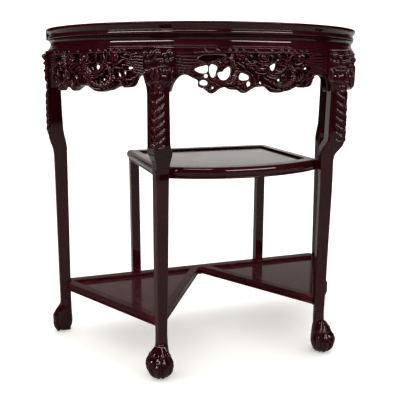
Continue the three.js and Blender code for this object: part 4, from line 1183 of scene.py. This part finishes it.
    # scaly body looping down to the right and back along the bottom
    t([(64, 712.5, 4.6, 22), (72, 706, 6.0, 23.5), (78, 697, 6.8, 24), (79, 687, 7.0, 24), (74.5, 677.5, 7.0, 24),
       (64, 670.5, 6.6, 23.5), (52, 667, 6.0, 23), (40, 668.5, 5.2, 22.5), (29, 673, 4.2, 22), (18, 676.5, 2.6, 21)],
      scales=(4.8, 1.5, 2.4))
    for u, z, r in ((68, 703.5, 2.5), (74, 696, 2.4), (71, 687, 2.6), (67, 680.5, 2.5), (59, 677.5, 2.3), (84, 678, 2.8),
                    (84.5, 670.5, 2.4), (77, 666.5, 2.3), (69, 663.5, 2.3), (60, 661.5, 2.2), (37, 677, 2.1)):
        d(u, z, r, r, 24.0, gap=0.9, deep=1.4)
    t([(14, 668, 2.0, 18.5), (23, 663, 2.4, 19), (33, 660, 2.6, 19), (46, 659.5, 2.4, 18.5)])
    # curls on the right
    t([(66, 716, 1.8, 21), (66.5, 725, 2.4, 22.5), (70, 732.5, 2.8, 24), (76.5, 734, 2.6, 23.5), (80.5, 729, 2.2, 22.5), (78.5, 724, 1.8, 21.5)])
    d(91, 727, 5.4, 9.2, 24.6)
    t([(82, 718, 1.8, 20.5), (84, 727, 1.9, 21.5), (84, 735, 1.8, 21)])
    t([(82, 713.5, 2.4, 21), (90, 713.5, 3.0, 22), (98, 716.5, 3.0, 22), (104, 721.5, 2.4, 21), (112, 724.5, 2.0, 20), (122, 725.5, 1.6, 19)])
    t([(82, 704, 2.2, 21.5), (90, 705.5, 2.6, 22), (99, 705, 2.6, 22), (106, 705.5, 2.2, 21)])
    d(105, 708.5, 3.2, 2.8, 23)
    t([(104, 712, 1.8, 20), (112, 711, 2.2, 20.5), (124, 709.6, 2.2, 20), (138, 708.4, 1.8, 19)])
    t([(112, 699.5, 1.8, 20), (120, 700.2, 2.0, 20), (132, 701.4, 1.8, 19)])
    t([(84, 701, 1.8, 20.5), (83.8, 691, 2.0, 21), (86, 684.2, 2.2, 21.5), (96, 683.4, 2.2, 21.5), (105, 685.5, 2.2, 21)])
    t([(98.5, 700, 1.5, 20), (98.4, 694, 1.6, 20.5), (101, 688, 1.6, 20)])
    d(117, 689.5, 4.0, 3.4, 23.5)
    d(109, 683.8, 3.8, 3.4, 23.5)
    d(119.5, 695.5, 3.0, 2.6, 22)
    t([(90, 679.5, 1.8, 20), (97, 678, 2.2, 21), (102, 673, 2.2, 21), (103.5, 668, 2.0, 20)])
    t(spiral(112, 673, 9.0, 5.6, 150, -0.95, 2.0, 21))
    t([(142, 686, 2.0, 19), (133, 682, 2.6, 20.5), (124, 680.5, 2.6, 21), (118, 682.5, 2.0, 20.5)])
    t([(106, 664.8, 1.8, 19), (118, 666.6, 2.2, 20), (128, 669, 2.2, 20), (134, 674.5, 2.0, 19.5), (137, 681, 1.7, 19)])
    # top band with its bead and small leaves
    band = Z > 736.6
    rel.H[band] = np.maximum(20.0, rel.H[band] * 0)
    t([(-150, 735.2, 0.9, 18.5), (-128, 737, 1.5, 21.6), (0, 737.2, 1.5, 21.8), (112, 737, 1.5, 21.6), (134, 735.2, 0.9, 18.5)], gap=0.9, deep=1.6)
    for u in list(range(-126, -70, 26)) + [-62, -45, -18, 20, 44, 62, 78, 96, 112]:
        d(u, 741.0, 1.5, 3.0, 22.2, gap=0.9, deep=1.2)
        d(u + 3.6, 740.2, 1.1, 2.0, 21.6, gap=0.8, deep=0.9)
    # everything bends down softly into the piercings
    rel.H = np.minimum(rel.H, 12.5 + 5.2 * np.sqrt(np.clip(-gh / 1.6, 0, 9)))
    return rel.H, smax(go, gh, 1.0), go


def apron_mesh(side):
    h = 0.9
    R, back = 408.0, 386.0
    u = np.arange(-214, 214.01, h) if not side else np.arange(-200, 214.01, h)
    z = np.arange(651.0, 748.6, h)
    w = np.arange(-1.8, 28.2, h)
    U2, Z2 = np.meshgrid(u, z, indexing="ij")
    UD = U2 if not side else np.interp(U2, [b for a, b in SIDE_WARP], [a for a, b in SIDE_WARP])
    H, G, go = dragon_relief(UD, Z2)
    if side:  # fuller low down in the middle
        H = np.minimum(H + 7.0 * np.exp(-((U2 - 26) / 26.0) ** 2) * np.clip((712 - Z2) / 26.0, 0, 1), np.maximum(H, 25.2))
    gz, gu = np.gradient(H, h, axis=1), np.gradient(H, h, axis=0)
    n = np.sqrt(1 + np.clip(gz * gz + gu * gu, 0, 12))
    G = np.maximum(G, Z2 - 746.9)
    if not side:
        G = np.maximum(G, np.abs(U2) - 212.0)
    else:
        G = np.maximum(G, U2 - 212.0)
    W = w[None, :, None]
    front = (W - H[:, None, :]) / n[:, None, :]
    f = smax(front, G[:, None, :], 1.4)
    f = smax(f, -W + 0.1, 1.2)
    if side:
        ang = math.radians(209) + U2 / R
        y = (back + W) * np.sin(ang)[:, None, :]
        f = np.maximum(f, y + 16.6)
        # it stops at the foot of the back leg's block
    f = f.astype(np.float32)
    v, q = surface_nets(f, (u, w, z))
    v, q = keep_largest(v, q)
    v = relax(v, q, 1, 0.45)
    a = math.radians(209 if side else 270) + v[:, 0] / R
    r = back + v[:, 1]
    p = np.stack([r * np.cos(a), r * np.sin(a), v[:, 2]], 1)
    return p, q[:, ::-1]  # u, w, z is left-handed here


p, q = apron_mesh(False)
place(quad_mesh("v_apron_front", p, q, WOOD_C), "lacquered_wood", "apron_front")
p, q = apron_mesh(True)
place(quad_mesh("v_apron_left", p, q, WOOD_C), "lacquered_wood", "apron_left")
place(quad_mesh("v_apron_right", p * np.array([-1, 1, 1]), q[:, ::-1], WOOD_C), "lacquered_wood", "apron_right")

# ---------------------------------------------------------------------- legs
class Clay:
    """A solid kept as distances on a grid; strands, balls and cuts are worked into it."""

    def __init__(self, ax):
        self.ax = [np.asarray(a, float) for a in ax]
        self.f = np.full([len(a) for a in ax], 40.0, np.float32)

    def win(self, lo, hi):
        sl = []
        for d in range(3):
            a = self.ax[d]
            i0 = max(0, int(np.searchsorted(a, lo[d])) - 1)
            i1 = min(len(a), int(np.searchsorted(a, hi[d])) + 1)
            if i1 <= i0:
                return None
            sl.append(slice(i0, i1))
        return tuple(sl)

    def grid(self, sl):
        x, y, z = (self.ax[d][sl[d]] for d in range(3))
        return x[:, None, None], y[None, :, None], z[None, None, :]

    def merge(self, sl, d, k, cut):
        d = d.astype(np.float32)
        if cut:
            self.f[sl] = smax(self.f[sl], -d, k) if k else np.maximum(self.f[sl], -d)
        else:
            self.f[sl] = smin(self.f[sl], d, k) if k else np.minimum(self.f[sl], d)

    def strand(self, pts, k=1.0, cut=False, step=2.2):
        """A round strand through pts of (x, y, z, r)."""
        c = spline([tuple(p) for p in pts], step)
        r = c[:, 3].max() + 3.0
        sl = self.win(c[:, :3].min(0) - r, c[:, :3].max(0) + r)
        if sl is None:
            return
        X, Y, Z = self.grid(sl)
        best = np.full(self.f[sl].shape, 50.0, np.float32)
        for a, b in zip(c[:-1], c[1:]):
            v = b[:3] - a[:3]
            l2 = float(v @ v)
            if l2 < 1e-9:
                continue
            t = np.clip(((X - a[0]) * v[0] + (Y - a[1]) * v[1] + (Z - a[2]) * v[2]) / l2, 0, 1)
            d = np.sqrt((X - a[0] - t * v[0]) ** 2 + (Y - a[1] - t * v[1]) ** 2 + (Z - a[2] - t * v[2]) ** 2)
            best = np.minimum(best, d - (a[3] + (b[3] - a[3]) * t))
        self.merge(sl, best, k, cut)

    def egg(self, c, radii, k=1.0, cut=False, axes=None):
        """An ellipsoid, its axes given as the rows of axes."""
        m = max(radii) + 3
        sl = self.win([v - m for v in c], [v + m for v in c])
        if sl is None:
            return
        X, Y, Z = self.grid(sl)
        x, y, z = X - c[0], Y - c[1], Z - c[2]
        if axes is not None:
            x, y, z = [x * a[0] + y * a[1] + z * a[2] for a in axes]
        k0 = np.sqrt((x / radii[0]) ** 2 + (y / radii[1]) ** 2 + (z / radii[2]) ** 2)
        k1 = np.sqrt((x / radii[0] ** 2) ** 2 + (y / radii[1] ** 2) ** 2 + (z / radii[2] ** 2) ** 2) + 1e-6
        self.merge(sl, k0 * (k0 - 1) / k1, k, cut)


def smooth_levels(levels, zs, width=9):
    """Eased interpolation of rows (z, values...) given from the top down."""
    lv = np.array(levels, float)[::-1]
    fine = np.arange(lv[0, 0], lv[-1, 0] + 1.0, 1.0)
    out = []
    ker = np.ones(width) / width
    for c in range(1, lv.shape[1]):
        y = np.interp(fine, lv[:, 0], lv[:, c])
        for _ in range(2):
            pad = np.concatenate([np.full(width, y[0]), y, np.full(width, y[-1])])
            y = np.convolve(pad, ker, "same")[width:-width]
        out.append(np.interp(zs, fine, y))
    return out


def body_field(clay, cp, cq, hp, hq, rc):
    X, Y = clay.ax[0][:, None, None], clay.ax[1][None, :, None]
    qx = np.abs(X - cp) - hp + rc
    qy = np.abs(Y - cq) - hq + rc
    d = np.sqrt(np.maximum(qx, 0) ** 2 + np.maximum(qy, 0) ** 2) + np.minimum(np.maximum(qx, qy), 0) - rc
    return d.astype(np.float32)


def beast_mask(clay, M, wide=1.0):
    """A guardian mask on one face: M(a, z, n) gives the point at a across, z up and n proud of the face."""

    def S(pts, k=0.8, cut=False, both=True):
        for s in (1, -1) if both else (1,):
            clay.strand([(*M(s * a * wide, z, n), r) for a, z, n, r in pts], k, cut, 1.8)

    def E(a, z, n, ra, rz, rn, k=0.8, both=True, cut=False):
        o = np.array(M(0, 700, 0))
        ua = np.array(M(1, 700, 0)) - o
        un = np.array(M(0, 700, 1)) - o
        for s in (1, -1) if both and a else (1,):
            clay.egg(M(s * a * wide, z, n), (ra * wide, rz, rn), k, cut, (ua, (0, 0, 1), un))

    def T(pts, k=0.5, cut=False):
        clay.strand([(*M(a * wide, z, n), r) for a, z, n, r in pts], k, cut, 1.8)

    E(0, 712, -3.5, 23, 30, 6.0, 2.0)
    E(0, 683, -1.4, 13.5, 14, 6.0, 1.6)
    # round eyes and nose
    E(14.3, 734.3, 2.0, 7.9, 7.1, 7.4, 0.25)
    E(0, 728.4, 1.0, 4.9, 4.8, 6.2, 0.25)
    # cheeks and muzzle
    S([(22.0, 724.0, 0.0, 2.2), (17.5, 721.6, 1.0, 3.0), (13.0, 719.4, 1.4, 2.6)], 0.5)
    E(6.6, 717.6, 1.6, 5.0, 5.2, 5.4, 0.4)
    # the open mouth
    E(0, 698.0, 4.8, 16.0, 7.4, 4.4, 0.8, cut=True)
    T([(-19.8, 700.4, 0.4, 1.6), (-15.8, 704.6, 1.6, 2.1), (-8, 707.6, 2.8, 2.4), (0, 708.6, 3.2, 2.5), (8, 707.6, 2.8, 2.4),
       (15.8, 704.6, 1.6, 2.1), (19.8, 700.4, 0.4, 1.6)], 0.5)
    E(9.6, 700.4, 1.8, 3.5, 4.8, 4.8, 0.25)
    E(3.2, 699.0, 2.2, 3.4, 5.2, 5.0, 0.25)
    S([(20.6, 703.6, 0.2, 1.8), (17.6, 698.2, 1.4, 3.2), (15.6, 691.4, 1.8, 3.3), (16.6, 685.2, 1.2, 2.2), (17.6, 681.0, 0.4, 1.0)], 0.4)
    # chin and whisker curls
    E(0, 680.6, 0.2, 10.8, 9.6, 5.2, 0.8)
    S([(19.4, 677.6, 0.2, 1.6), (15.8, 675.8, 0.8, 2.4), (12.0, 677.2, 0.4, 1.3)], 0.5)


def leaf_relief(clay, M, mirror=False):
    """Hanging leaf on the knee: lobes that rise away from the stem, between two scrolls."""
    sides = (1, -1) if mirror else (1,)
    off = 0.0 if mirror else -17.0

    def S(pts, s=1, k=0.7, cut=False):
        clay.strand([(*M(s * (a - off) + off if mirror else a, z, n), r) for a, z, n, r in pts], k, cut, 1.8)

    if mirror:
        for s in sides:
            q = lambda pts, k=0.7, cut=False: clay.strand([(*M(s * a, z, n), r) for a, z, n, r in pts], k, cut, 1.8)
            q([(x, zz, 0.2, 2.1) for x, zz in spiral(7.5, 659, 7.2, 2.4, 110, -1.3)])
            for k in range(6):
                z0 = 638 - 16.5 * k
                q([(1, z0 - 7, 0.2, 3.2), (6, z0 - 3, 0.8, 3.8), (11, z0 + 3, 0.5, 3.1), (15.5, z0 + 9, -0.3, 1.6)])
                q([(3, z0 - 5.5, 4.4, 0.7), (9, z0, 4.6, 0.8), (14, z0 + 6, 2.6, 0.7)], 0.3, True)
            q([(x, zz, 0.2, 1.9) for x, zz in spiral(7, 546, 5.6, 2.2, -60, 1.2)])
        clay.strand([(*M(0, z, 1.2), 2.4 + 0.5 * math.sin(z / 5.0)) for z in range(648, 545, -8)], 0.8, False, 2.0)
        return
    S([(x, zz, 0.2, 2.2) for x, zz in spiral(-7.0, 660.5, 8.4, 2.6, 80, -1.35)])
    S([(4, 651.5, 0.0, 2.0), (0.5, 645, 0.8, 2.6), (-6, 640.5, 1.0, 2.8), (-12, 635.5, 1.0, 3.0), (-14.5, 626, 0.8, 2.6)])
    for k in range(5):
        z0 = 622.5 - 17.5 * k
        S([(-17.5, z0 - 9, 0.0, 3.4), (-10.5, z0 - 4.5, 0.7, 4.3), (-2.5, z0 + 1.5, 0.6, 3.9), (4.5, z0 + 9.0, -0.1, 2.0)])
        S([(-15, z0 - 7.5, 4.6, 0.8), (-7.5, z0 - 2.5, 5.0, 0.9), (0, z0 + 4.2, 3.9, 0.7)], cut=True, k=0.3)
        S([(-12, z0 - 11.5, 2.2, 0.9), (-4, z0 - 6.5, 3.0, 1.0), (3, z0 - 1, 2.0, 0.8)], cut=True, k=0.3)
    S([(x, zz, 0.3, 2.0) for x, zz in spiral(-7.5, 549.5, 6.4, 2.4, -30, 1.25)])
    S([(-18, 541.5, 0.4, 2.3), (-9, 539.2, 0.9, 2.4), (-1, 540.8, 0.6, 2.1), (4.5, 545.5, -0.2, 1.4)])


def dense(*runs):
    """An axis made of runs (start, stop, step)."""
    out = []
    for a, b, s in runs:
        n = max(1, int(round((b - a) / s)))
        out.extend(a + (b - a) * i / n for i in range(n))
    out.append(runs[-1][1])
    return np.array(out)


LEG_Z = dense((-1.8, 94, 0.9), (94, 130, 2.0), (130, 480, 5.0), (480, 536, 1.6), (536, 748.8, 0.9))


def extents_field(clay, zs, levels, width):
    """Rounded box sections given as rows (z, p low, p high, q low, q high, rounding)."""
    p0, p1, q0, q1, rc = smooth_levels(levels, zs, width)
    clay.f = body_field(clay, (p0 + p1) / 2, (q0 + q1) / 2, (p1 - p0) / 2, (q1 - q0) / 2, rc)
    return p0, p1, q0, q1


def front_leg():
    k2 = math.sqrt(2)
    pq = np.arange(-34, 54.01, 1.0)
    clay = Clay((pq, pq, LEG_Z))
    zs = LEG_Z
    lv = [
        (750, -17.5, 31.9, -15.0, 42.5, 4.4), (692, -17.5, 31.9, -15.0, 42.5, 4.4), (687, -17.5, 31.9, -13.5, 42.2, 4.4),
        (682, -17.2, 31.8, -11.0, 41.6, 4.4), (677, -14.6, 31.7, -7.4, 41.0, 4.4), (672, -11.6, 31.6, -4.4, 40.3, 4.4),
        (667, -9.2, 31.6, -2.0, 39.7, 4.4), (661, -7.1, 31.6, 0.1, 39.2, 4.4), (654, -5.9, 31.6, 1.4, 38.9, 4.4),
        (645, -5.8, 31.6, 1.5, 38.9, 4.4), (600, -6.6, 31.8, 1.2, 38.9, 4.4), (550, -7.2, 32.2, 1.0, 38.9, 4.4),
        (543, -7.5, 32.0, 0.5, 38.9, 4.4), (538, -9.5, 32.0, -0.5, 38.4, 4.4), (532, -13.0, 31.3, -2.5, 36.5, 4.4),
        (526, -15.8, 29.2, -4.5, 32.5, 4.4), (520, -17.3, 26.0, -6.0, 28.5, 4.4), (514, -18.1, 22.3, -7.2, 24.0, 4.4),
        (508, -18.2, 18.8, -8.0, 20.2, 4.4), (500, -17.6, 16.6, -9.0, 17.8, 4.4), (491, -16.9, 15.6, -9.5, 16.8, 4.4),
        (478, -15.9, 15.5, -9.5, 16.8, 4.4), (464, -15.2, 15.6, -9.2, 17.2, 4.4), (419, -14.2, 15.9, -8.7, 17.1, 4.4),
        (304, -14.0, 15.0, -11.0, 13.5, 4.4), (184, -12.8, 14.2, -11.6, 11.3, 4.4), (110, -11.2, 13.0, -10.8, 10.0, 4.4),
        (86, -11.0, 13.0, -10.5, 10.0, 4.2), (72, -11.2, 13.6, -10.6, 11.2, 6.0), (60, -11.0, 14.0, -10.0, 13.0, 7.0),
        (48, -10.0, 15.0, -10.0, 14.0, 8.0), (-5, -8.0, 14.0, -8.0, 14.0, 8.0),
    ]
    p0, p1, q0, q1 = extents_field(clay, zs, lv, 3)
    at = lambda a, z: float(np.interp(z, zs, a))
    faces = (
        lambda a, z, n: (9.8 - a, 42.5 + n, z),
        lambda a, z, n: (31.7 + n, 17.9 - a, z),
    )
    for M in faces:
        beast_mask(clay, M)
    shaft = (
        lambda a, z, n: (13.0 - a, at(q1, z) + n - 0.6, z),
        lambda a, z, n: (at(p1, z) + n - 1.5, 20.3 - a, z),
    )
    for M in shaft:
        leaf_relief(clay, M)
    clay.strand([(at(p1, z) - 1.2, at(q1, z) - 1.2, z, 2.5 + 0.5 * math.sin(z / 4.4)) for z in range(654, 548, -7)], 1.2)
    # the paw: a full foot under the ankle, five toes with claws
    P = lambda r, t: ((r - t) / k2, (r + t) / k2)
    clay.egg((*P(13.0, 0), 27.5), (27.0, 29.5, 28.5), 6.0, False, ((1 / k2, 1 / k2, 0), (-1 / k2, 1 / k2, 0), (0, 0, 1)))
    clay.strand([(*P(0, -0.5), 92, 10.5), (*P(2.5, 0), 76, 12.6), (*P(6.5, 0), 62, 17.0), (*P(10, 0), 50, 21.0)], 6.0)
    clay.strand([(*P(-3, 0), 60, 11.0), (*P(-5.5, 0), 40, 11.0), (*P(-5.0, 0), 20, 11.0), (*P(-2.5, 0), 10, 9.5)], 5.0)
    for phi, size in ((0, 1.0), (37, 0.98), (-37, 0.98), (76, 0.92), (-76, 0.92)):
        c, s = math.cos(math.radians(phi)), math.sin(math.radians(phi))
        E = lambda f: P(13.0 + f * 31.0 * c * (1.0 if c > 0 else 0.5), f * 31.5 * s)
        c0 = max(0.0, c) ** 3  # the middle toe lies flatter on the instep
        path = [(f + (g - f) * c0, z, r) for f, g, z, r in
                ((0.30, 0.05, 74, 4.4), (0.52, 0.18, 63, 5.8), (0.73, 0.36, 52, 6.6), (0.87, 0.62, 42, 6.8), (0.93, 0.86, 33, 6.5))]
        clay.strand([(*E(f), z, r * size) for f, z, r in path], 2.4)
        clay.egg((*E(0.86 - 0.20 * c0), 42.5 - 2.0 * c0), (7.4 * size, 7.4 * size, 6.4 * size), 1.6)
        clay.egg((*E(0.68 - 0.32 * c0), 57.5 - 3.0 * c0), (6.6 * size, 6.6 * size, 5.6 * size), 1.6)
        clay.strand([(*E(f), z, r * size) for f, z, r in ((0.92, 31, 5.6), (0.89, 22, 5.2), (0.72, 12, 4.6), (0.46, 4.5, 4.0))], 0.6)
        ring = []
        for t in (-17, -8, 0, 8, 17):
            a = math.radians(phi + t)
            x, y = P(13.0 + 36.5 * math.cos(a), 37.0 * math.sin(a))
            ring.append((x, y, 30.0 - abs(t) * 0.08, 1.0))
        clay.strand(ring, 0.4, True)
    for t in (-56, -18.5, 18.5, 56):
        a = math.radians(t)
        clay.strand([(*P(13 + f * 31 * math.cos(a), f * 31.5 * math.sin(a)), z, r) for f, z, r in
                     ((0.5, 66, 0.8), (0.78, 54, 1.5), (0.98, 42, 2.0), (1.08, 30, 2.0), (1.06, 18, 1.4))], 1.4, True)
    Z = zs[None, None, :]
    clay.f = np.maximum(clay.f, np.maximum(Z - 747.1, 0.15 - Z)).astype(np.float32)
    v, q = surface_nets(clay.f, clay.ax)
    v, q = keep_largest(v, q)
    v = relax(v, q, 1, 0.4)
    e1 = np.array([math.cos(math.radians(193)), math.sin(math.radians(193))])
    e2 = np.array([math.cos(math.radians(283)), math.sin(math.radians(283))])
    ax = np.array(polar(389, 238))
    xy = ax + v[:, :1] * e1 + v[:, 1:2] * e2
    return np.concatenate([xy, v[:, 2:]], 1), q


def back_leg():
    """p runs outwards, q to the front."""
    pa = np.arange(-24, 39.61, 0.95)
    qa = np.arange(-12.5, 28.0, 0.95)
    clay = Clay((pa, qa, LEG_Z))
    zs = LEG_Z
    lv = [
        (750, -10.5, 22.4, -7.0, 18.0, 1.8), (660, -10.5, 23.0, -7.0, 18.0, 1.8), (620, -10.6, 24.4, -7.0, 18.0, 1.8),
        (590, -11.0, 25.0, -7.0, 18.0, 1.8), (552, -12.2, 25.4, -7.0, 18.0, 1.8), (541, -13.6, 25.2, -7.0, 18.0, 1.8),
        (529, -16.0, 24.0, -7.0, 18.0, 2.0), (518, -18.0, 21.0, -7.0, 17.6, 2.0), (508, -19.4, 17.4, -7.0, 17.0, 2.0),
        (499, -19.4, 15.0, -7.0, 16.8, 2.0),
        (487, -19.2, 13.9, -7.0, 16.8, 2.0), (465, -18.9, 13.6, -7.0, 16.6, 2.0), (300, -16.2, 14.4, -7.0, 16.2, 2.0),
        (140, -13.5, 15.2, -7.0, 16.0, 2.0), (90, -13.0, 15.0, -7.0, 15.4, 2.4), (72, -13.2, 15.5, -7.5, 16.0, 3.5),
        (58, -13.0, 17.0, -8.0, 16.0, 4.0), (30, -11.0, 18.0, -6.0, 16.0, 5.0), (-5, -8.0, 15.0, -4.0, 13.0, 5.0),
    ]
    p0, p1, q0, q1 = extents_field(clay, zs, lv, 5)
    at = lambda a, z: float(np.interp(z, zs, a))
    beast_mask(clay, lambda a, z, n: (21.6 + n * 0.85, 5.5 - a, z), 0.58)
    leaf_relief(clay, lambda a, z, n: (at(p1, z) + n - 0.6, 5.5 - a, z), True)
    clay.egg((11.0, 5.2, 27.0), (24.0, 14.8, 28.0), 4.0)
    clay.strand([(1, 4.5, 88, 12.0), (3.5, 5, 74, 13.0), (8.5, 6, 58, 15.5), (12, 6.5, 44, 16.0)], 5.0)
    clay.strand([(-3, 4.5, 60, 10.0), (-4.5, 4.5, 36, 10.0), (-3.0, 5.0, 18, 10.0)], 4.0)
    # toes on the outer side
    for t, size in ((-10.2, 0.84), (0, 1.0), (10.2, 0.84)):
        reach = 1.0 if t == 0 else 0.95
        pts = [(6 + rho * reach, 5.2 + t * f, z, r * size) for rho, z, r, f in
               ((6, 76, 4.0, 0.4), (13.0, 65, 5.2, 0.6), (19.5, 54, 6.2, 0.8), (24.2, 44, 6.6, 0.96), (25.4, 34, 5.8, 1.0))]
        clay.strand(pts, 2.2)
        clay.egg((6 + 23.6 * reach, 5.2 + t * 0.97, 44.5), (7.2 * size, 7.0 * size, 6.4 * size), 1.4)
        clay.strand([(6 + rho * reach, 5.2 + t, z, r * size) for rho, z, r in ((25.8, 31, 5.0), (26.4, 22, 5.0), (24.2, 12, 5.0), (20.0, 5, 4.8))], 0.6)
        clay.strand([(6 + 31.2 * reach, 5.2 + t + k, 30.0, 0.9) for k in (-4, 0, 4)], 0.4, True)
    for t in (-5.8, 5.8):
        clay.strand([(20, 5.2 + t * 0.8, 66, 0.9), (29, 5.2 + t, 54, 1.7), (34, 5.2 + t, 42, 2.1), (35.5, 5.2 + t, 28, 1.6)], 1.0, True)
    Z = zs[None, None, :]
    clay.f = np.maximum(clay.f, np.maximum(Z - 747.1, 0.15 - Z)).astype(np.float32)
    X = clay.ax[0][:, None, None]
    clay.f = np.maximum(clay.f, (X - 37.8)).astype(np.float32)
    v, q = surface_nets(clay.f, clay.ax)
    v, q = keep_largest(v, q)
    v = relax(v, q, 1, 0.4)
    x = -388.0 - v[:, 0]
    y = 2.0 - v[:, 1]
    return np.stack([x, y, v[:, 2]], 1), q


flip = np.array([-1, 1, 1])
p, q = front_leg()
place(quad_mesh("v_leg_front_left", p, q, WOOD_L), "lacquered_wood", "leg_front_left")
place(quad_mesh("v_leg_front_right", p * flip, q[:, ::-1], WOOD_L), "lacquered_wood", "leg_front_right")
p, q = back_leg()
place(quad_mesh("v_leg_back_left", p, q, WOOD_L), "lacquered_wood", "leg_back_left")
place(quad_mesh("v_leg_back_right", p * flip, q[:, ::-1], WOOD_L), "lacquered_wood", "leg_back_right")


# hidden pieces keep their construction shape, with eased edges and a plain finish
for nm in (
    "top_batten_left", "top_batten_right", "shelf_batten", "lower_batten_left", "lower_batten_right",
    "apron_key_front_left", "apron_key_front_right", "apron_key_left", "apron_key_right",
):
    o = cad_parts[nm]
    o.data.materials.clear()
    o.data.materials.append(PLAIN)
    m = o.modifiers.new("eased", "BEVEL")
    m.width = 0.0006
    m.segments = 2
    m.limit_method = "ANGLE"
# the back apron gets the half-colour copy of the lacquer: painted shade behind the piercings
for nm in ("apron_back",):
    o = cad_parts[nm]
    o.data.materials.clear()
    o.data.materials.append(SHADE_PAINTED_WOOD)
    m = o.modifiers.new("eased", "BEVEL")
    m.width = 0.0008
    m.segments = 2
    m.limit_method = "ANGLE"

# ------------------------------------------------------------ camera and light
cam_data = bpy.data.cameras.new("camera")
cam_data.sensor_width = 36.0
cam_data.lens = 597.9 / 400.0 * 36.0
cam_data.clip_start = 0.05
cam_data.clip_end = 60.0
cam = bpy.data.objects.new("camera", cam_data)
scene.collection.objects.link(cam)
yaw, pitch, roll = math.radians(18.93), math.radians(-12.20), math.radians(0.17)
fwd = Vector((math.sin(yaw) * math.cos(pitch), math.cos(yaw) * math.cos(pitch), math.sin(pitch)))
right = Vector((math.cos(yaw), -math.sin(yaw), 0.0))
up = right.cross(fwd)
r2 = right * math.cos(roll) + up * math.sin(roll)
u2 = -right * math.sin(roll) + up * math.cos(roll)
mat = Matrix((
    (r2.x, u2.x, -fwd.x, -0.5429),
    (r2.y, u2.y, -fwd.y, (-1583.3 + YC) * MM),
    (r2.z, u2.z, -fwd.z, 0.700),
    (0, 0, 0, 1),
))
cam.matrix_world = mat
scene.camera = cam


def area(name, loc, target, size, power, colour=(1, 1, 1)):
    d = bpy.data.lights.new(name, "AREA")
    d.shape = "RECTANGLE"
    d.size, d.size_y = size
    d.energy = power
    d.color = colour
    o = bpy.data.objects.new(name, d)
    scene.collection.objects.link(o)
    o.location = loc
    v = Vector(target) - Vector(loc)
    o.rotation_euler = v.to_track_quat("-Z", "Y").to_euler()
    return o


# pale floor that turns up into a backdrop
def backdrop():
    n = 24
    prof = [(-6.0, 0.0), (2.6, 0.0)]
    for k in range(1, n + 1):
        t = k / n * math.pi / 2
        prof.append((2.6 + 1.2 * math.sin(t), 1.2 - 1.2 * math.cos(t)))
    prof.append((3.8, 5.5))
    dirv = Vector((math.sin(yaw), math.cos(yaw), 0))
    side = Vector((dirv.y, -dirv.x, 0))
    verts, faces = [], []
    for s in (-2.6, 2.6):
        for a, z in prof:
            p = dirv * a + side * s
            verts.append((p.x, p.y, z - 0.0005))
    m = len(prof)
    for i in range(m - 1):
        faces.append((i, i + 1, m + i + 1, m + i))
    me = bpy.data.meshes.new("floor")
    me.from_pydata(verts, [], faces)
    me.update()
    o = bpy.data.objects.new("floor", me)
    scene.collection.objects.link(o)
    mt, nt, b = new_mat("floor_paper")
    b.inputs["Base Color"].default_value = (0.94, 0.93, 0.91, 1)
    b.inputs["Roughness"].default_value = 0.9
    b.inputs["Specular IOR Level"].default_value = 0.0
    b.inputs["Emission Color"].default_value = (1, 1, 1, 1)
    b.inputs["Emission Strength"].default_value = 0.2
    me.materials.append(mt)
    me.polygons.foreach_set("use_smooth", np.ones(len(me.polygons), dtype=bool))
    return o


floor = backdrop()

world = bpy.data.worlds.new("studio")
scene.world = world
world.use_nodes = True
wn = world.node_tree
bg = wn.nodes["Background"]
bg.inputs["Color"].default_value = (1.0, 0.985, 0.96, 1)
bg.inputs["Strength"].default_value = 1.35
world.cycles_visibility.glossy = False

def soft_box(name, azimuth, elevation, dist, size, power):
    a, e = math.radians(azimuth), math.radians(elevation)
    c = Vector((0.0, YC * MM, 0.62))
    p = c + Vector((math.cos(a) * math.cos(e), math.sin(a) * math.cos(e), math.sin(e))) * dist
    return area(name, p, c, size, power)


boxes = [
    soft_box("box_left", 209, 28, 2.5, (1.9, 0.36), 185),
    soft_box("box_right", -66, 27, 2.5, (1.8, 0.36), 145),
    soft_box("box_top", 240, 62, 2.2, (1.0, 0.35), 45),
]
# the two boxes light the furniture, and the paper has its own lamps
paper = bpy.data.collections.new("paper")
paper.objects.link(floor)
paper.collection_objects[0].light_linking.link_state = "EXCLUDE"
for o in boxes:
    o.light_linking.receiver_collection = paper
area("overhead", (0.15, 0.5, 2.3), (0.15, 0.5, 0), (1.5, 1.5), 5)
area("backdrop_light", (0.9, 1.9, 2.4), (1.3, 3.9, 0.9), (3.0, 1.0), 8)
